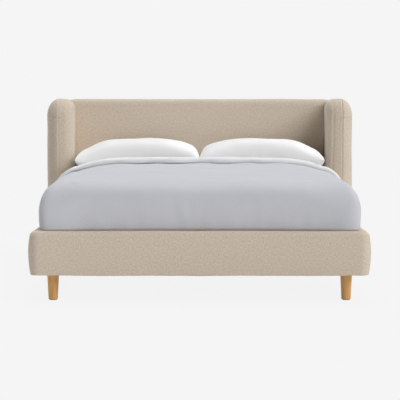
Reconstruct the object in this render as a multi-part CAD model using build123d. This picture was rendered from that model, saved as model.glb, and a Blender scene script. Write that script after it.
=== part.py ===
from build123d import *
import os
from math import cos, pi, sin

# A wingback bed for a 1500 x 2000 mm mattress. Lengths are in millimetres.
# The origin lies on the floor under the middle of the bed, +Z is up and the footboard faces -Y.
# Left and right are -X and +X, as they are seen from the foot of the bed.

# Mattress, and the room round it in the well of the base
mattress_width = 1500
mattress_length = 2000
mattress_height = 250
mattress_corner_radius = 60
mattress_edge_radius = 32
mattress_sink = 56
well_clearance = 12.5

# Upholstered base
leg_height = 131
base_height = 225
rail_thickness = 94
footboard_thickness = 95
foot_corner_radius = 55
belly_height = 114
belly_over_top = 14.5
belly_over_underside = 10.5
base_top_edge_radius = 18
base_low_edge_radius = 6
base_core_thickness = 45
base_top_foam = 20
foot_core_reach = 20

# Headboard panel between the wings
headboard_height = 1015
panel_thickness = 105
panel_edge_radius = 30
panel_foam = 40
panel_top_foam = 22
panel_board = 9
panel_post_width = 70
panel_rail_height = 70
panel_low_rail_height = 150
panel_middle_rise = 250

# Wings
wing_thickness = 160
wing_projection = 300
wing_edge_depth = 100
wing_outer_round = 59
wing_inner_round = 36
wing_inner_round_depth = 55
wing_inner_foam = 18
wing_outer_foam = 31
wing_front_foam = 60
wing_top_foam = 58
wing_board = 6
wing_timber = 45

# Cloth and fits
cover_thickness = 2
fit = 0.3
overrun = 5

# Slats and what carries them
ledge_width = 30
ledge_height = 45
beam_width = 60
beam_height = 90
slat_count = 14
slat_width = 63
slat_thickness = 8
slat_bow = 12
holder_floor = 4
holder_wall = 3
holder_grip = 32
hanger_steel = 3
hanger_depth = 45
hanger_flange = 28
hanger_height = 62

# Legs
leg_top_diameter = 59.5
leg_foot_diameter = 47
leg_edge_round = 2
leg_pad_diameter = 38
leg_pad_thickness = 3
front_leg_inset = 118.5
front_leg_beside_well = 24.5
rear_leg_inset = 110
corner_block_size = 90
centre_leg_behind_middle = 250
centre_leg_diameter = 50

# Rail fittings: a plate with hooks on the rail's end drops into a slotted plate
plate_steel = 3
plate_width = 28
plate_height = 120
hook_steel = 4
hook_reach = 13
hook_height = 26
hook_notch = 8
hook_spacing = 40
pocket_clearance = 2
end_block_length = 90

# Fasteners
bolt_diameter = 8
bolt_head_diameter = 15
bolt_head_height = 5
bolt_bite = 32
leg_bolt_in_leg = 45
leg_bolt_in_block = 50
insert_diameter = 13
insert_length = 16
screw_diameter = 5
screw_head_diameter = 10
screw_head_height = 2.8
screw_bite = 22
ledge_screw_count = 7
ledge_screw_end = 60

# Duvet, folded back below the pillows
duvet_side = 65.7
duvet_foot = 57
duvet_top_at_foot = 46
duvet_top_at_fold = 52
duvet_crown_at_foot = 15
duvet_crown_at_fold = 37
duvet_shoulder_run = 115
duvet_hem_draw = 4
duvet_foot_round = 100
duvet_foot_round_steps = 5
fold_before_pillows = 104
fold_band = 250
fold_rise = 38
fold_side_rise = 9
fold_edge_round = 24
fold_round_steps = 3

# Pillows
pillow_length = 490
pillow_rise = 133
pillow_drop = 90
pillow_gap = 3
pillow_head_gap = 6
pillow_drawn_in = 14

# Shares of a length, chosen by eye
pillow_width_and_fullness_shares = [
    (0, 0.07),
    (0.035, 0.36),
    (0.11, 0.66),
    (0.26, 0.92),
    (0.5, 1),
    (0.74, 0.92),
    (0.89, 0.66),
    (0.965, 0.36),
    (1, 0.07),
]
shoulder_middle_share = 0.29
shoulder_drop_share = 0.6
plate_screw_share = 0.42
hanger_screw_share = 0.55
block_bolt_shares = (0.3, 0.7)
block_bolt_shift_share = 0.2
block_bolt_inset_share = 0.78
upper_wing_bolt_shares = (0.25, 0.75)

# Places that follow from the sizes above
well_half = mattress_width / 2 + well_clearance
base_half = well_half + rail_thickness
bed_length = footboard_thickness + mattress_length + 2 * well_clearance + panel_thickness
front_y = -bed_length / 2
back_y = bed_length / 2
footboard_back_y = front_y + footboard_thickness
panel_front_y = back_y - panel_thickness
wing_front_y = panel_front_y - wing_projection
base_underside = leg_height
base_top = base_underside + base_height
mattress_underside = base_top - mattress_sink
mattress_top = mattress_underside + mattress_height
mattress_y = (footboard_back_y + well_clearance, panel_front_y - well_clearance)
wing_outer_x = well_half + wing_thickness
seam_x = wing_outer_x - wing_outer_round
corner_axis_x = base_half - foot_corner_radius
corner_axis_y = front_y + foot_corner_radius
rail_y = (footboard_back_y + 2 * plate_steel + fit, wing_front_y - 2 * plate_steel - fit)
rail_core_x = (well_half + cover_thickness, well_half + cover_thickness + base_core_thickness)
base_core_z = (base_underside + cover_thickness, base_top - cover_thickness - base_top_foam)
slat_end_z = mattress_underside - fit - slat_bow - slat_thickness
ledge_top = slat_end_z - fit - holder_floor
ledge_underside = ledge_top - ledge_height
beam_underside = ledge_top - beam_height


def block(x_limits, y_limits, z_limits):
    """A rectangular piece between two limits on each axis."""
    sizes = [max(pair) - min(pair) for pair in (x_limits, y_limits, z_limits)]
    middles = [(max(pair) + min(pair)) / 2 for pair in (x_limits, y_limits, z_limits)]
    return Pos(*middles) * Box(*sizes)


def mirrored(piece):
    """The same piece on the other side of the bed."""
    return mirror(piece, about=Plane.YZ)


def round_pin(start, direction, diameter, length):
    """A round pin from a start point along a direction."""
    return extrude(Plane(origin=start, z_dir=direction) * Circle(diameter / 2), amount=length)


def bolt(start, direction, length):
    """A hexagon bolt whose head lies on a face at the start point."""
    face = Plane(origin=start, z_dir=direction)
    head = extrude(face * RegularPolygon(bolt_head_diameter / 2, 6), amount=-bolt_head_height)
    return round_pin(start, direction, bolt_diameter, length) + head


def screw(start, direction, length, slack=0):
    """A countersunk screw, flush with a face at the start point. The slack makes it the hole for one."""
    head = Pos(0, 0, screw_head_height / 2) * Cone(
        screw_head_diameter / 2 + slack, screw_diameter / 2 + slack, screw_head_height
    )
    shank = round_pin(start, direction, screw_diameter + 2 * slack, length)
    return shank + Plane(origin=start, z_dir=direction) * head


def without(piece, tools):
    """The piece with the room of the tools cut out of it."""
    for tool in tools:
        piece = piece - tool
    return piece


def save(node, *pieces):
    """Write one node, with a separate solid for each of its pieces."""
    solids = [solid for piece in pieces for solid in piece.solids()]
    shape = solids[0] if len(solids) == 1 else Compound(solids)
    export_step(shape, f"parts/{node}.step")


def save_pair(node, piece):
    """Write a right-hand piece, and its mirror image as the left-hand one."""
    save(f"{node}_right", piece)
    save(f"{node}_left", mirrored(piece))


# Padding of the base

def base_section(inner, inset):
    """The padded section, upright in XZ, from its inner limit out to its belly."""
    low, high = base_underside + inset, base_top - inset
    low_out = foot_corner_radius - belly_over_underside - inset
    high_out = foot_corner_radius - belly_over_top - inset
    belly = (foot_corner_radius - inset, base_underside + belly_height)
    face = make_face(
        [
            ThreePointArc((low_out, low), belly, (high_out, high)),
            Line((high_out, high), (inner, high)),
            Line((inner, high), (inner, low)),
            Line((inner, low), (low_out, low)),
        ]
    )
    top_corner = face.vertices().sort_by_distance((high_out, high))[0]
    face = fillet(top_corner, base_top_edge_radius - inset)
    low_corner = face.vertices().sort_by_distance((low_out, low))[0]
    face = fillet(low_corner, base_low_edge_radius - inset)
    return Plane.XZ * face


def rail_body(inset):
    """The padded side rail on the right, drawn in all over by the inset except at its ends."""
    section = base_section(well_half - corner_axis_x + inset, inset)
    return extrude(Pos(corner_axis_x, rail_y[0], 0) * section, amount=rail_y[1] - rail_y[0], dir=(0, 1, 0))


def footboard_body(inset):
    """The padded footboard: a straight front, two round corners and their short returns."""
    depth = footboard_thickness - foot_corner_radius - inset
    across = Pos(-corner_axis_x, corner_axis_y, 0) * Rot(0, 0, -90) * base_section(-depth, inset)
    body = extrude(across, amount=2 * corner_axis_x, dir=(1, 0, 0))
    section = Pos(corner_axis_x, corner_axis_y, 0) * base_section(0, inset)
    turn = Axis((corner_axis_x, corner_axis_y, 0), (0, 0, -1))
    end = revolve(section, axis=turn, revolution_arc=90) + extrude(section, amount=depth, dir=(0, 1, 0))
    return body + end + mirrored(end)


def rail_core():
    """The timber of the right side rail."""
    return block(rail_core_x, rail_y, base_core_z)


def footboard_core():
    """The timber of the footboard, flush with the inside of its cover."""
    half = corner_axis_x + foot_core_reach
    y_out = footboard_back_y - cover_thickness
    return block((-half, half), (y_out - base_core_thickness, y_out), base_core_z)


# Headboard panel

frame_y = (panel_front_y + cover_thickness + panel_foam + panel_board, back_y - cover_thickness)
frame_top = headboard_height - cover_thickness - panel_top_foam
low_rail_z = (base_underside + cover_thickness, base_underside + cover_thickness + panel_low_rail_height)
middle_rail_z = (low_rail_z[1] + panel_middle_rise, low_rail_z[1] + panel_middle_rise + panel_rail_height)
top_rail_z = (frame_top - panel_rail_height, frame_top)
post_x = (well_half - cover_thickness - panel_post_width, well_half - cover_thickness)


def panel_body(inset, back_limit):
    """The upholstered panel between the wings, round along its top front edge."""
    half, front, high = well_half - inset, panel_front_y + inset, headboard_height - inset
    body = block((-half, half), (front, back_limit), (base_underside + inset, high))
    edge = body.edges().filter_by(Axis.X).sort_by_distance((0, front, high))[0]
    return fillet(edge, panel_edge_radius - inset)


def panel_core_space():
    """The room that the panel's timbers and board take out of its foam."""
    x_limits = (-well_half, well_half)
    low = block(x_limits, (panel_front_y, back_y), (0, low_rail_z[1]))
    return low + block(x_limits, (frame_y[0] - panel_board, back_y), (0, frame_top))


def panel_cross_rail(z_limits):
    """A timber across the panel, between its posts."""
    return block((-post_x[0], post_x[0]), frame_y, z_limits)


# Wings

wing_core_x = (
    well_half + cover_thickness + wing_inner_foam,
    wing_outer_x - cover_thickness - wing_outer_foam,
)
wing_core_y = (wing_front_y + wing_front_foam, back_y - cover_thickness)
wing_core_z = (base_underside + cover_thickness, headboard_height - wing_top_foam)
wing_timber_x = (wing_core_x[0] + wing_board, wing_core_x[1] - wing_board)
wing_inside_z = (wing_core_z[0] + wing_timber, wing_core_z[1] - wing_timber)


def wing_section(inset):
    """The wing's edge, upright in XZ: flat between a wide round outside and a small one inside."""
    x_in, x_out, crest = well_half + inset, wing_outer_x - inset, wing_edge_depth - inset
    inner_x, inner_z = well_half + wing_inner_round, wing_edge_depth - wing_inner_round_depth
    inner_sizes = (wing_inner_round - inset, wing_inner_round_depth - inset)
    outline = [
        Line((x_in, 0), (x_in, inner_z)),
        EllipticalCenterArc((inner_x, inner_z), *inner_sizes, start_angle=90),
        Line((inner_x, crest), (seam_x, crest)),
        EllipticalCenterArc((seam_x, 0), x_out - seam_x, crest),
        Line((x_out, 0), (x_in, 0)),
    ]
    return Plane.XZ * make_face(outline)


def wing_body(inset):
    """The upholstered right wing: its edge section runs up the front and back along the top."""
    axis_y, axis_z = wing_front_y + wing_edge_depth, headboard_height - wing_edge_depth
    back, low = back_y - inset, base_underside + inset
    slab = block((well_half + inset, wing_outer_x - inset), (axis_y, back), (low, axis_z))
    section = Pos(0, axis_y, axis_z) * wing_section(inset)
    top = extrude(section, amount=back - axis_y, dir=(0, 1, 0))
    upright = Pos(0, axis_y, low) * Rot(90, 0, 0) * wing_section(inset)
    front = extrude(upright, amount=axis_z - low, dir=(0, 0, 1))
    corner = revolve(section, axis=Axis((0, axis_y, axis_z), (1, 0, 0)), revolution_arc=90)
    return slab + top + front + corner


def joint_block():
    """The timber in the foot of the wing's front edge, which the side rail hooks on to."""
    return block(
        (well_half + wing_inner_round, seam_x),
        (wing_front_y + cover_thickness, wing_core_y[0]),
        (wing_core_z[0], base_top),
    )


def wing_boards():
    """The two thin boards that close the right wing's box."""
    inner = block((wing_core_x[0], wing_timber_x[0]), wing_core_y, wing_core_z)
    outer = block((wing_timber_x[1], wing_core_x[1]), wing_core_y, wing_core_z)
    return inner, outer


def wing_post(front_limit):
    """An upright timber of the right wing's box."""
    return block(wing_timber_x, (front_limit, front_limit + wing_timber), wing_inside_z)


def wing_cross_timber(underside):
    """A level timber of the right wing's box, over its whole depth."""
    return block(wing_timber_x, wing_core_y, (underside, underside + wing_timber))


def wing_bolt_heights():
    """The heights of the bolts that hold a wing to the panel, clear of the panel's cross rails."""
    low = (low_rail_z[1] + middle_rail_z[0]) / 2
    room = top_rail_z[0] - middle_rail_z[1]
    return [low] + [middle_rail_z[1] + share * room for share in upper_wing_bolt_shares]


def wing_bolts():
    """The bolts from inside the right panel post into the wing's back post."""
    length = wing_timber_x[0] + bolt_bite - post_x[0]
    middle_y = (frame_y[0] + frame_y[1]) / 2
    return [bolt((post_x[0], middle_y, z), (1, 0, 0), length) for z in wing_bolt_heights()]


# Fittings that join the side rails to the footboard and the wings

plate_z = base_underside + belly_height
hook_heights = [plate_z + hook_spacing / 2 * side for side in (-1, 1)]
plate_screw_heights = [plate_z + plate_screw_share * plate_height * side for side in (-1, 1)]
plate_limits_z = (plate_z - plate_height / 2, plate_z + plate_height / 2)


class Fitting:
    """One joint of the right rail: where its plates stand, and which way its hooks point."""

    def __init__(self, x, catch_face, rail_face):
        self.x = x
        self.catch_face = catch_face
        self.rail_face = rail_face
        self.out = 1 if catch_face > rail_face else -1

    def plate(self, face, direction):
        x_limits = (self.x - plate_width / 2, self.x + plate_width / 2)
        return block(x_limits, (face, face + direction * plate_steel), plate_limits_z)

    def hook_plate(self):
        """The plate on the rail's end, with two hooks that reach down behind the catch plate."""
        plate = self.plate(self.rail_face, self.out)
        x_limits = (self.x - hook_steel / 2, self.x + hook_steel / 2)
        back = self.catch_face + self.out * fit
        tip = back + self.out * hook_reach
        for z in hook_heights:
            high, low = z + hook_height / 2, z - hook_height / 2
            neck = block(x_limits, (self.rail_face, tip), (low + hook_notch, high))
            plate = plate + neck + block(x_limits, (back, tip), (low, high))
        return without(plate, self.screws(self.rail_face + self.out * plate_steel, -self.out, fit))

    def hook_room(self, y_from, y_to):
        """The clear room of the two hooks between two places."""
        half = hook_steel / 2 + fit
        reach = hook_height / 2 + pocket_clearance
        return [block((self.x - half, self.x + half), (y_from, y_to), (z - reach, z + reach)) for z in hook_heights]

    def catch_plate(self):
        """The slotted plate on the face of the footboard or the wing."""
        plate = self.plate(self.catch_face, -self.out)
        outer = self.catch_face - self.out * plate_steel
        slots = self.hook_room(outer - self.out * overrun, self.catch_face + self.out * overrun)
        return without(plate, slots + self.screws(outer, self.out, fit))

    def pockets(self):
        """The holes behind the catch plate that its hooks reach into."""
        deep = self.catch_face + self.out * (fit + hook_reach + pocket_clearance)
        return self.hook_room(self.catch_face - self.out * overrun, deep)

    def screws(self, face, direction, slack=0):
        length = plate_steel + cover_thickness + screw_bite
        return [screw((self.x, face, z), (0, direction, 0), length, slack) for z in plate_screw_heights]

    def catch_screws(self):
        return self.screws(self.catch_face - self.out * plate_steel, self.out)

    def hook_screws(self):
        return self.screws(self.rail_face + self.out * plate_steel, -self.out)


foot_fitting = Fitting((rail_core_x[0] + rail_core_x[1]) / 2, footboard_back_y, rail_y[0])
wing_fitting = Fitting((well_half + wing_inner_round + seam_x) / 2, wing_front_y, rail_y[1])


def rail_end_block():
    """The timber beside the rail's core that carries the plate at the wing."""
    return block(
        (rail_core_x[1], wing_fitting.x + plate_width / 2),
        (rail_y[1] - end_block_length, rail_y[1]),
        plate_limits_z,
    )


# Slats and what carries them

slat_x = (holder_wall / 2 + fit, well_half - 2 * fit - holder_wall)
beam_y = (footboard_back_y + hanger_steel + fit, panel_front_y - hanger_steel - fit)
ledge_y = (footboard_back_y + fit, panel_front_y - fit)
slat_pitch = (mattress_y[1] - mattress_y[0]) / slat_count
slat_places = [mattress_y[0] + slat_pitch * (index + 1 / 2) for index in range(slat_count)]


def slat(y, slack=0):
    """One bowed slat of the right row. The slack makes it the pocket for one."""
    start, end = slat_x[0] - slack, slat_x[1] + slack
    middle = (start + end) / 2
    low, high = slat_end_z - slack, slat_end_z + slat_thickness + slack
    outline = [
        ThreePointArc((start, low), (middle, low + slat_bow), (end, low)),
        Line((end, low), (end, high)),
        ThreePointArc((end, high), (middle, high + slat_bow), (start, high)),
        Line((start, high), (start, low)),
    ]
    half = slat_width / 2 + slack
    return extrude(Pos(0, y - half, 0) * (Plane.XZ * make_face(outline)), amount=2 * half, dir=(0, 1, 0))


def holder_limits(y):
    """The limits along Y and Z of the slat holder at one place."""
    half_length = (slat_x[1] - slat_x[0]) / 2
    climb = slat_bow * (1 - (1 - holder_grip / half_length) ** 2)
    half_width = slat_width / 2 + fit + holder_wall
    top = slat_end_z + slat_thickness + climb + fit + holder_wall
    return (y - half_width, y + half_width), (ledge_top, top)


def side_holder(y):
    """The holder of a slat's outer end, on the right ledge."""
    outer = well_half - fit
    body = block((outer - holder_wall - holder_grip, outer), *holder_limits(y))
    return body - slat(y, fit)


def centre_holder(y):
    """The double holder on the centre beam, which takes a slat from each side."""
    half = holder_wall / 2 + holder_grip
    return block((-half, half), *holder_limits(y)) - slat(y, fit) - mirrored(slat(y, fit))


def ledge():
    """The batten inside the right rail and wing that carries the slat holders."""
    return block((well_half - ledge_width, well_half), ledge_y, (ledge_underside, ledge_top))


def ledge_screws():
    """The screws through the right ledge into the rail's core."""
    run = rail_y[1] - rail_y[0] - 2 * ledge_screw_end
    length = ledge_width + cover_thickness + screw_bite
    height = (ledge_underside + ledge_top) / 2
    places = [rail_y[0] + ledge_screw_end + run * index / (ledge_screw_count - 1) for index in range(ledge_screw_count)]
    return [screw((well_half - ledge_width, y, height), (1, 0, 0), length) for y in places]


def centre_beam():
    """The beam along the middle of the bed, in a hanger at each end."""
    return block((-beam_width / 2, beam_width / 2), beam_y, (beam_underside, ledge_top))


def hanger(face, away, tools):
    """The steel shoe for one end of the centre beam."""
    half = beam_width / 2 + fit + hanger_steel
    z_limits = (beam_underside - fit - hanger_steel, beam_underside - fit - hanger_steel + hanger_height)
    plate = block((-half - hanger_flange, half + hanger_flange), (face, face + away * hanger_steel), z_limits)
    shoe = block((-half, half), (face, face + away * hanger_depth), z_limits)
    room = block(
        (hanger_steel - half, half - hanger_steel),
        (face + away * hanger_steel, face + away * (hanger_depth + overrun)),
        (beam_underside - fit, z_limits[1] + overrun),
    )
    return without(plate + shoe - room, tools)


def hanger_screws(face, away, slack=0):
    """The two screws through a hanger's flanges."""
    x = beam_width / 2 + fit + hanger_steel + hanger_screw_share * hanger_flange
    z = beam_underside + hanger_height / 2
    length = hanger_steel + cover_thickness + screw_bite
    return [screw((side * x, face + away * hanger_steel, z), (0, -away, 0), length, slack) for side in (-1, 1)]


# Legs

front_leg_place = (well_half - front_leg_beside_well, front_y + front_leg_inset)
rear_leg_place = ((well_half + wing_outer_x) / 2, back_y - rear_leg_inset)
centre_leg_place = (0, centre_leg_behind_middle)


def turned_leg(place, top, top_diameter, foot_diameter):
    """A round tapered leg that stands on its pad."""
    height = top - leg_pad_thickness
    leg = Cone(foot_diameter / 2, top_diameter / 2, height)
    foot_edge = leg.edges().filter_by(GeomType.CIRCLE).sort_by(Axis.Z)[0]
    leg = fillet(foot_edge, leg_edge_round)
    return Pos(*place, leg_pad_thickness + height / 2) * leg


def leg_pad(place):
    """The felt pad under a leg."""
    return round_pin((*place, 0), (0, 0, 1), leg_pad_diameter, leg_pad_thickness)


def leg_bolt(place, top):
    """The stud between a leg and the timber above it."""
    length = leg_bolt_in_leg + leg_bolt_in_block
    return round_pin((*place, top - leg_bolt_in_leg), (0, 0, 1), bolt_diameter, length)


def leg_insert(place, timber_underside):
    """The threaded insert in the timber above a leg, round its stud."""
    start = (*place, timber_underside)
    ring = round_pin(start, (0, 0, 1), insert_diameter, insert_length)
    return ring - round_pin(start, (0, 0, 1), bolt_diameter, insert_length)


def corner_block():
    """The timber block in the right front corner of the well, over the leg."""
    return block(
        (well_half - corner_block_size, well_half),
        (footboard_back_y, footboard_back_y + corner_block_size),
        (base_underside, ledge_underside),
    )


def corner_bolts():
    """The bolts through the right corner block, two into the rail and two into the footboard."""
    length = corner_block_size + cover_thickness + bolt_bite
    height = ledge_underside - base_underside
    far = block_bolt_inset_share * corner_block_size
    bolts = []
    for share in block_bolt_shares:
        z = base_underside + share * height
        into_rail = (well_half - corner_block_size, footboard_back_y + far, z)
        shift = block_bolt_shift_share * height
        into_foot = (well_half - far, footboard_back_y + corner_block_size, z - shift)
        bolts += [bolt(into_rail, (1, 0, 0), length), bolt(into_foot, (0, -1, 0), length)]
    return bolts


# Bedding

def mattress():
    """The mattress, round at its corners and along its edges."""
    half = mattress_width / 2
    body = block((-half, half), mattress_y, (mattress_underside, mattress_top))
    body = fillet(body.edges().filter_by(Axis.Z), mattress_corner_radius)
    level = body.edges().group_by(Axis.Z)
    return fillet(level[0] + level[-1], mattress_edge_radius)


def duvet_section(y, half, shoulder, crown):
    """One upright cut through the duvet, from hem to hem over its crown."""
    hem = base_top + fit
    drop = shoulder_drop_share * (shoulder - hem)
    low, inner = shoulder - drop, half - duvet_shoulder_run
    middle = (half - shoulder_middle_share * duvet_shoulder_run, shoulder - shoulder_middle_share * drop)
    side = (half, (hem + low) / 2)
    edge = half - duvet_hem_draw
    outline = [
        Line((-edge, hem), (edge, hem)),
        ThreePointArc((edge, hem), side, (edge, low)),
        ThreePointArc((edge, low), middle, (inner, shoulder)),
        ThreePointArc((inner, shoulder), (0, shoulder + crown), (-inner, shoulder)),
        ThreePointArc((-inner, shoulder), (-middle[0], middle[1]), (-edge, low)),
        ThreePointArc((-edge, low), (-side[0], side[1]), (-edge, hem)),
    ]
    return Pos(0, y, 0) * (Plane.XZ * make_face(outline))


def duvet():
    """The duvet over the mattress: a soft cap whose head end is folded back on itself."""
    half = mattress_width / 2 + duvet_side
    foot = mattress_y[0] - duvet_foot
    fold = panel_front_y - pillow_head_gap - pillow_length - fold_before_pillows
    band_start = fold - fold_band
    sections = []
    for step in range(duvet_foot_round_steps):
        angle = pi / 2 * step / duvet_foot_round_steps
        inset = duvet_foot_round * (1 - sin(angle))
        y = foot + duvet_foot_round * (1 - cos(angle))
        sections.append((y, -inset, -inset, 0))
    sections.append((foot + duvet_foot_round, 0, 0, 0))
    sections.append((band_start, 0, 0, 1))
    for step in range(1, fold_round_steps + 1):
        angle = pi / 2 * step / fold_round_steps
        y = band_start + fold_edge_round * (1 - cos(angle))
        sections.append((y, fold_side_rise * sin(angle), fold_rise * sin(angle), 1))
    for step in range(fold_round_steps + 1):
        angle = pi / 2 * step / fold_round_steps
        y = fold - fold_edge_round * (1 - sin(angle))
        drop = fold_edge_round * (1 - cos(angle))
        sections.append((y, fold_side_rise - drop / 2, fold_rise - drop, 1))
    cuts = []
    for y, wider, higher, along in sections:
        top = mattress_top + duvet_top_at_foot + along * (duvet_top_at_fold - duvet_top_at_foot) + higher
        crown = duvet_crown_at_foot + along * (duvet_crown_at_fold - duvet_crown_at_foot)
        cuts.append(duvet_section(y, half + wider, top, crown))
    body = loft(cuts, ruled=True)
    room = block(
        (-mattress_width / 2 - fit, mattress_width / 2 + fit),
        (mattress_y[0] - fit, back_y),
        (0, mattress_top + fit),
    )
    return body - room


def pillow():
    """The right pillow: thin along its seam, full in the middle, its sides drawn in between its corners."""
    width = well_half - 3 * pillow_gap / 2
    seam_z = mattress_top + fit + pillow_drop
    y_middle = panel_front_y - pillow_head_gap - pillow_length / 2
    cuts = []
    for along_share, full_share in pillow_width_and_fullness_shares:
        half = pillow_length / 2 - pillow_drawn_in * full_share
        upper = ThreePointArc((-half, 0), (0, full_share * pillow_rise), (half, 0))
        lower = ThreePointArc((half, 0), (0, -full_share * pillow_drop), (-half, 0))
        x = pillow_gap / 2 + along_share * width
        cuts.append(Pos(x, y_middle, seam_z) * (Plane.YZ * make_face([upper, lower])))
    return loft(cuts)


# The nodes

os.makedirs("parts", exist_ok=True)

right_corner_bolts = corner_bolts()
all_corner_bolts = right_corner_bolts + [mirrored(piece) for piece in right_corner_bolts]
right_ledge_screws = ledge_screws()
foot_hanger_screws = hanger_screws(footboard_back_y, 1)
head_hanger_screws = hanger_screws(panel_front_y, -1)
front_leg_bolt = leg_bolt(front_leg_place, base_underside)
rear_leg_bolt = leg_bolt(rear_leg_place, base_underside)
centre_leg_bolt = leg_bolt(centre_leg_place, beam_underside)
rear_timber_underside = base_underside + cover_thickness
right_wing_bolts = wing_bolts()
foot_catch_screws = foot_fitting.catch_screws()
foot_cuts = foot_fitting.pockets() + foot_catch_screws
both_foot_cuts = foot_cuts + [mirrored(piece) for piece in foot_cuts]
wing_cuts = wing_fitting.pockets() + wing_fitting.catch_screws()

foot_tools = all_corner_bolts + foot_hanger_screws + both_foot_cuts
footboard_padding = footboard_body(cover_thickness)
save("footboard_core", without(footboard_core(), foot_tools))
save("footboard_foam", footboard_padding - footboard_core())
save("footboard_cover", without(footboard_body(0) - footboard_padding, foot_tools))

rail_padding = rail_body(cover_thickness)
rail_tools = right_corner_bolts + right_ledge_screws
save_pair("side_rail_core", without(rail_core(), rail_tools + foot_fitting.hook_screws()))
save_pair("side_rail_foam", rail_padding - rail_core() - rail_end_block())
save_pair("side_rail_cover", without(rail_body(0) - rail_padding, rail_tools))
end_block = without(rail_end_block(), wing_fitting.hook_screws())
save("side_rail_end_blocks", end_block, mirrored(end_block))

hook_plates = [foot_fitting.hook_plate(), wing_fitting.hook_plate()]
catch_plates = [foot_fitting.catch_plate(), wing_fitting.catch_plate()]
fitting_screws = foot_catch_screws + foot_fitting.hook_screws()
fitting_screws += wing_fitting.catch_screws() + wing_fitting.hook_screws()
save("rail_hook_plates", *hook_plates, *[mirrored(plate) for plate in hook_plates])
save("rail_catch_plates", *catch_plates, *[mirrored(plate) for plate in catch_plates])

save_pair("slat_ledge", without(ledge(), right_ledge_screws))
save("centre_beam", without(centre_beam(), [centre_leg_bolt, leg_insert(centre_leg_place, beam_underside)]))
foot_hanger = hanger(footboard_back_y, 1, hanger_screws(footboard_back_y, 1, fit))
head_hanger = hanger(panel_front_y, -1, hanger_screws(panel_front_y, -1, fit))
save("beam_hangers", foot_hanger, head_hanger)
right_screws = fitting_screws + right_ledge_screws
all_right_screws = right_screws + [mirrored(piece) for piece in right_screws]
save("wood_screws", *foot_hanger_screws, *head_hanger_screws, *all_right_screws)

right_slats = [slat(y) for y in slat_places]
save("slats_right", *right_slats)
save("slats_left", *[mirrored(piece) for piece in right_slats])
right_holders = [side_holder(y) for y in slat_places]
save("slat_holders_right", *right_holders)
save("slat_holders_left", *[mirrored(piece) for piece in right_holders])
save("slat_holders_centre", *[centre_holder(y) for y in slat_places])

front_insert = leg_insert(front_leg_place, base_underside)
rear_insert = leg_insert(rear_leg_place, rear_timber_underside)
centre_insert = leg_insert(centre_leg_place, beam_underside)
block_tools = right_corner_bolts + [front_leg_bolt, front_insert]
save_pair("corner_block", without(corner_block(), block_tools))

front_leg = turned_leg(front_leg_place, base_underside, leg_top_diameter, leg_foot_diameter)
rear_leg = turned_leg(rear_leg_place, base_underside, leg_top_diameter, leg_foot_diameter)
centre_leg = turned_leg(centre_leg_place, beam_underside, centre_leg_diameter, leg_foot_diameter)
save_pair("leg_front", front_leg - front_leg_bolt)
save_pair("leg_rear", rear_leg - rear_leg_bolt)
save("leg_centre", centre_leg - centre_leg_bolt)
right_bolts, right_inserts = [front_leg_bolt, rear_leg_bolt], [front_insert, rear_insert]
right_pads = [leg_pad(front_leg_place), leg_pad(rear_leg_place)]
save("leg_studs", centre_leg_bolt, *right_bolts, *[mirrored(piece) for piece in right_bolts])
save("leg_inserts", centre_insert, *right_inserts, *[mirrored(piece) for piece in right_inserts])
save("leg_pads", leg_pad(centre_leg_place), *right_pads, *[mirrored(piece) for piece in right_pads])

all_wing_bolts = right_wing_bolts + [mirrored(piece) for piece in right_wing_bolts]
panel_padding = panel_body(cover_thickness, back_y)
save_pair("headboard_post", without(block(post_x, frame_y, (low_rail_z[1], frame_top)), right_wing_bolts))
save("headboard_cross_rails", panel_cross_rail(middle_rail_z), panel_cross_rail(top_rail_z))
low_rail_y = (panel_front_y + cover_thickness, frame_y[1])
low_rail = block((-post_x[1], post_x[1]), low_rail_y, low_rail_z)
save("headboard_bottom_rail", without(low_rail, head_hanger_screws))
board = block((-post_x[1], post_x[1]), (frame_y[0] - panel_board, frame_y[0]), (low_rail_z[1], frame_top))
save("headboard_board", board)
save("headboard_foam", panel_body(cover_thickness, frame_y[1]) - panel_core_space())
panel_cover = panel_body(0, back_y) - panel_padding
save("headboard_cover", without(panel_cover, all_wing_bolts + head_hanger_screws))
back_cloth_z = (base_underside + cover_thickness, headboard_height - cover_thickness)
save("headboard_back_cloth", block((-post_x[1], post_x[1]), (frame_y[1], back_y), back_cloth_z))

wing_core_space = block(wing_core_x, wing_core_y, wing_core_z) + joint_block()
wing_padding = wing_body(cover_thickness)
rear_leg_tools = [rear_leg_bolt, rear_insert]
inner_board, outer_board = wing_boards()
right_joint_block = without(joint_block(), wing_cuts)
save("wing_joint_blocks", right_joint_block, mirrored(right_joint_block))
save_pair("wing_front_post", wing_post(wing_core_y[0]))
save_pair("wing_back_post", without(wing_post(wing_core_y[1] - wing_timber), right_wing_bolts))
right_cross = [wing_cross_timber(wing_inside_z[1]), without(wing_cross_timber(wing_core_z[0]), rear_leg_tools)]
save("wing_cross_rails_right", *right_cross)
save("wing_cross_rails_left", *[mirrored(piece) for piece in right_cross])
right_boards = [without(inner_board, right_wing_bolts), outer_board]
save("wing_boards_right", *right_boards)
save("wing_boards_left", *[mirrored(piece) for piece in right_boards])
save_pair("wing_foam", without(wing_padding - wing_core_space, right_wing_bolts))
wing_cover_tools = right_wing_bolts + wing_cuts + [rear_leg_bolt]
save_pair("wing_cover", without(wing_body(0) - wing_padding, wing_cover_tools))
save("hexagon_bolts", *all_corner_bolts, *all_wing_bolts)

save("mattress", mattress())
save("duvet", duvet())
save_pair("pillow", pillow())
print("bed length", bed_length, "width at the wings", 2 * wing_outer_x, "nodes", len(os.listdir("parts")))
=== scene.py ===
# %% [markdown]
# This notebook dresses a wingback bed. The CAD model gives the frame: every timber, slat, bolt and
# leg is already there, in metres, in its place. What the eye meets first is soft, so the upholstery,
# the mattress, the duvet and the pillows are made here and stand for the plain CAD solids.

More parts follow.
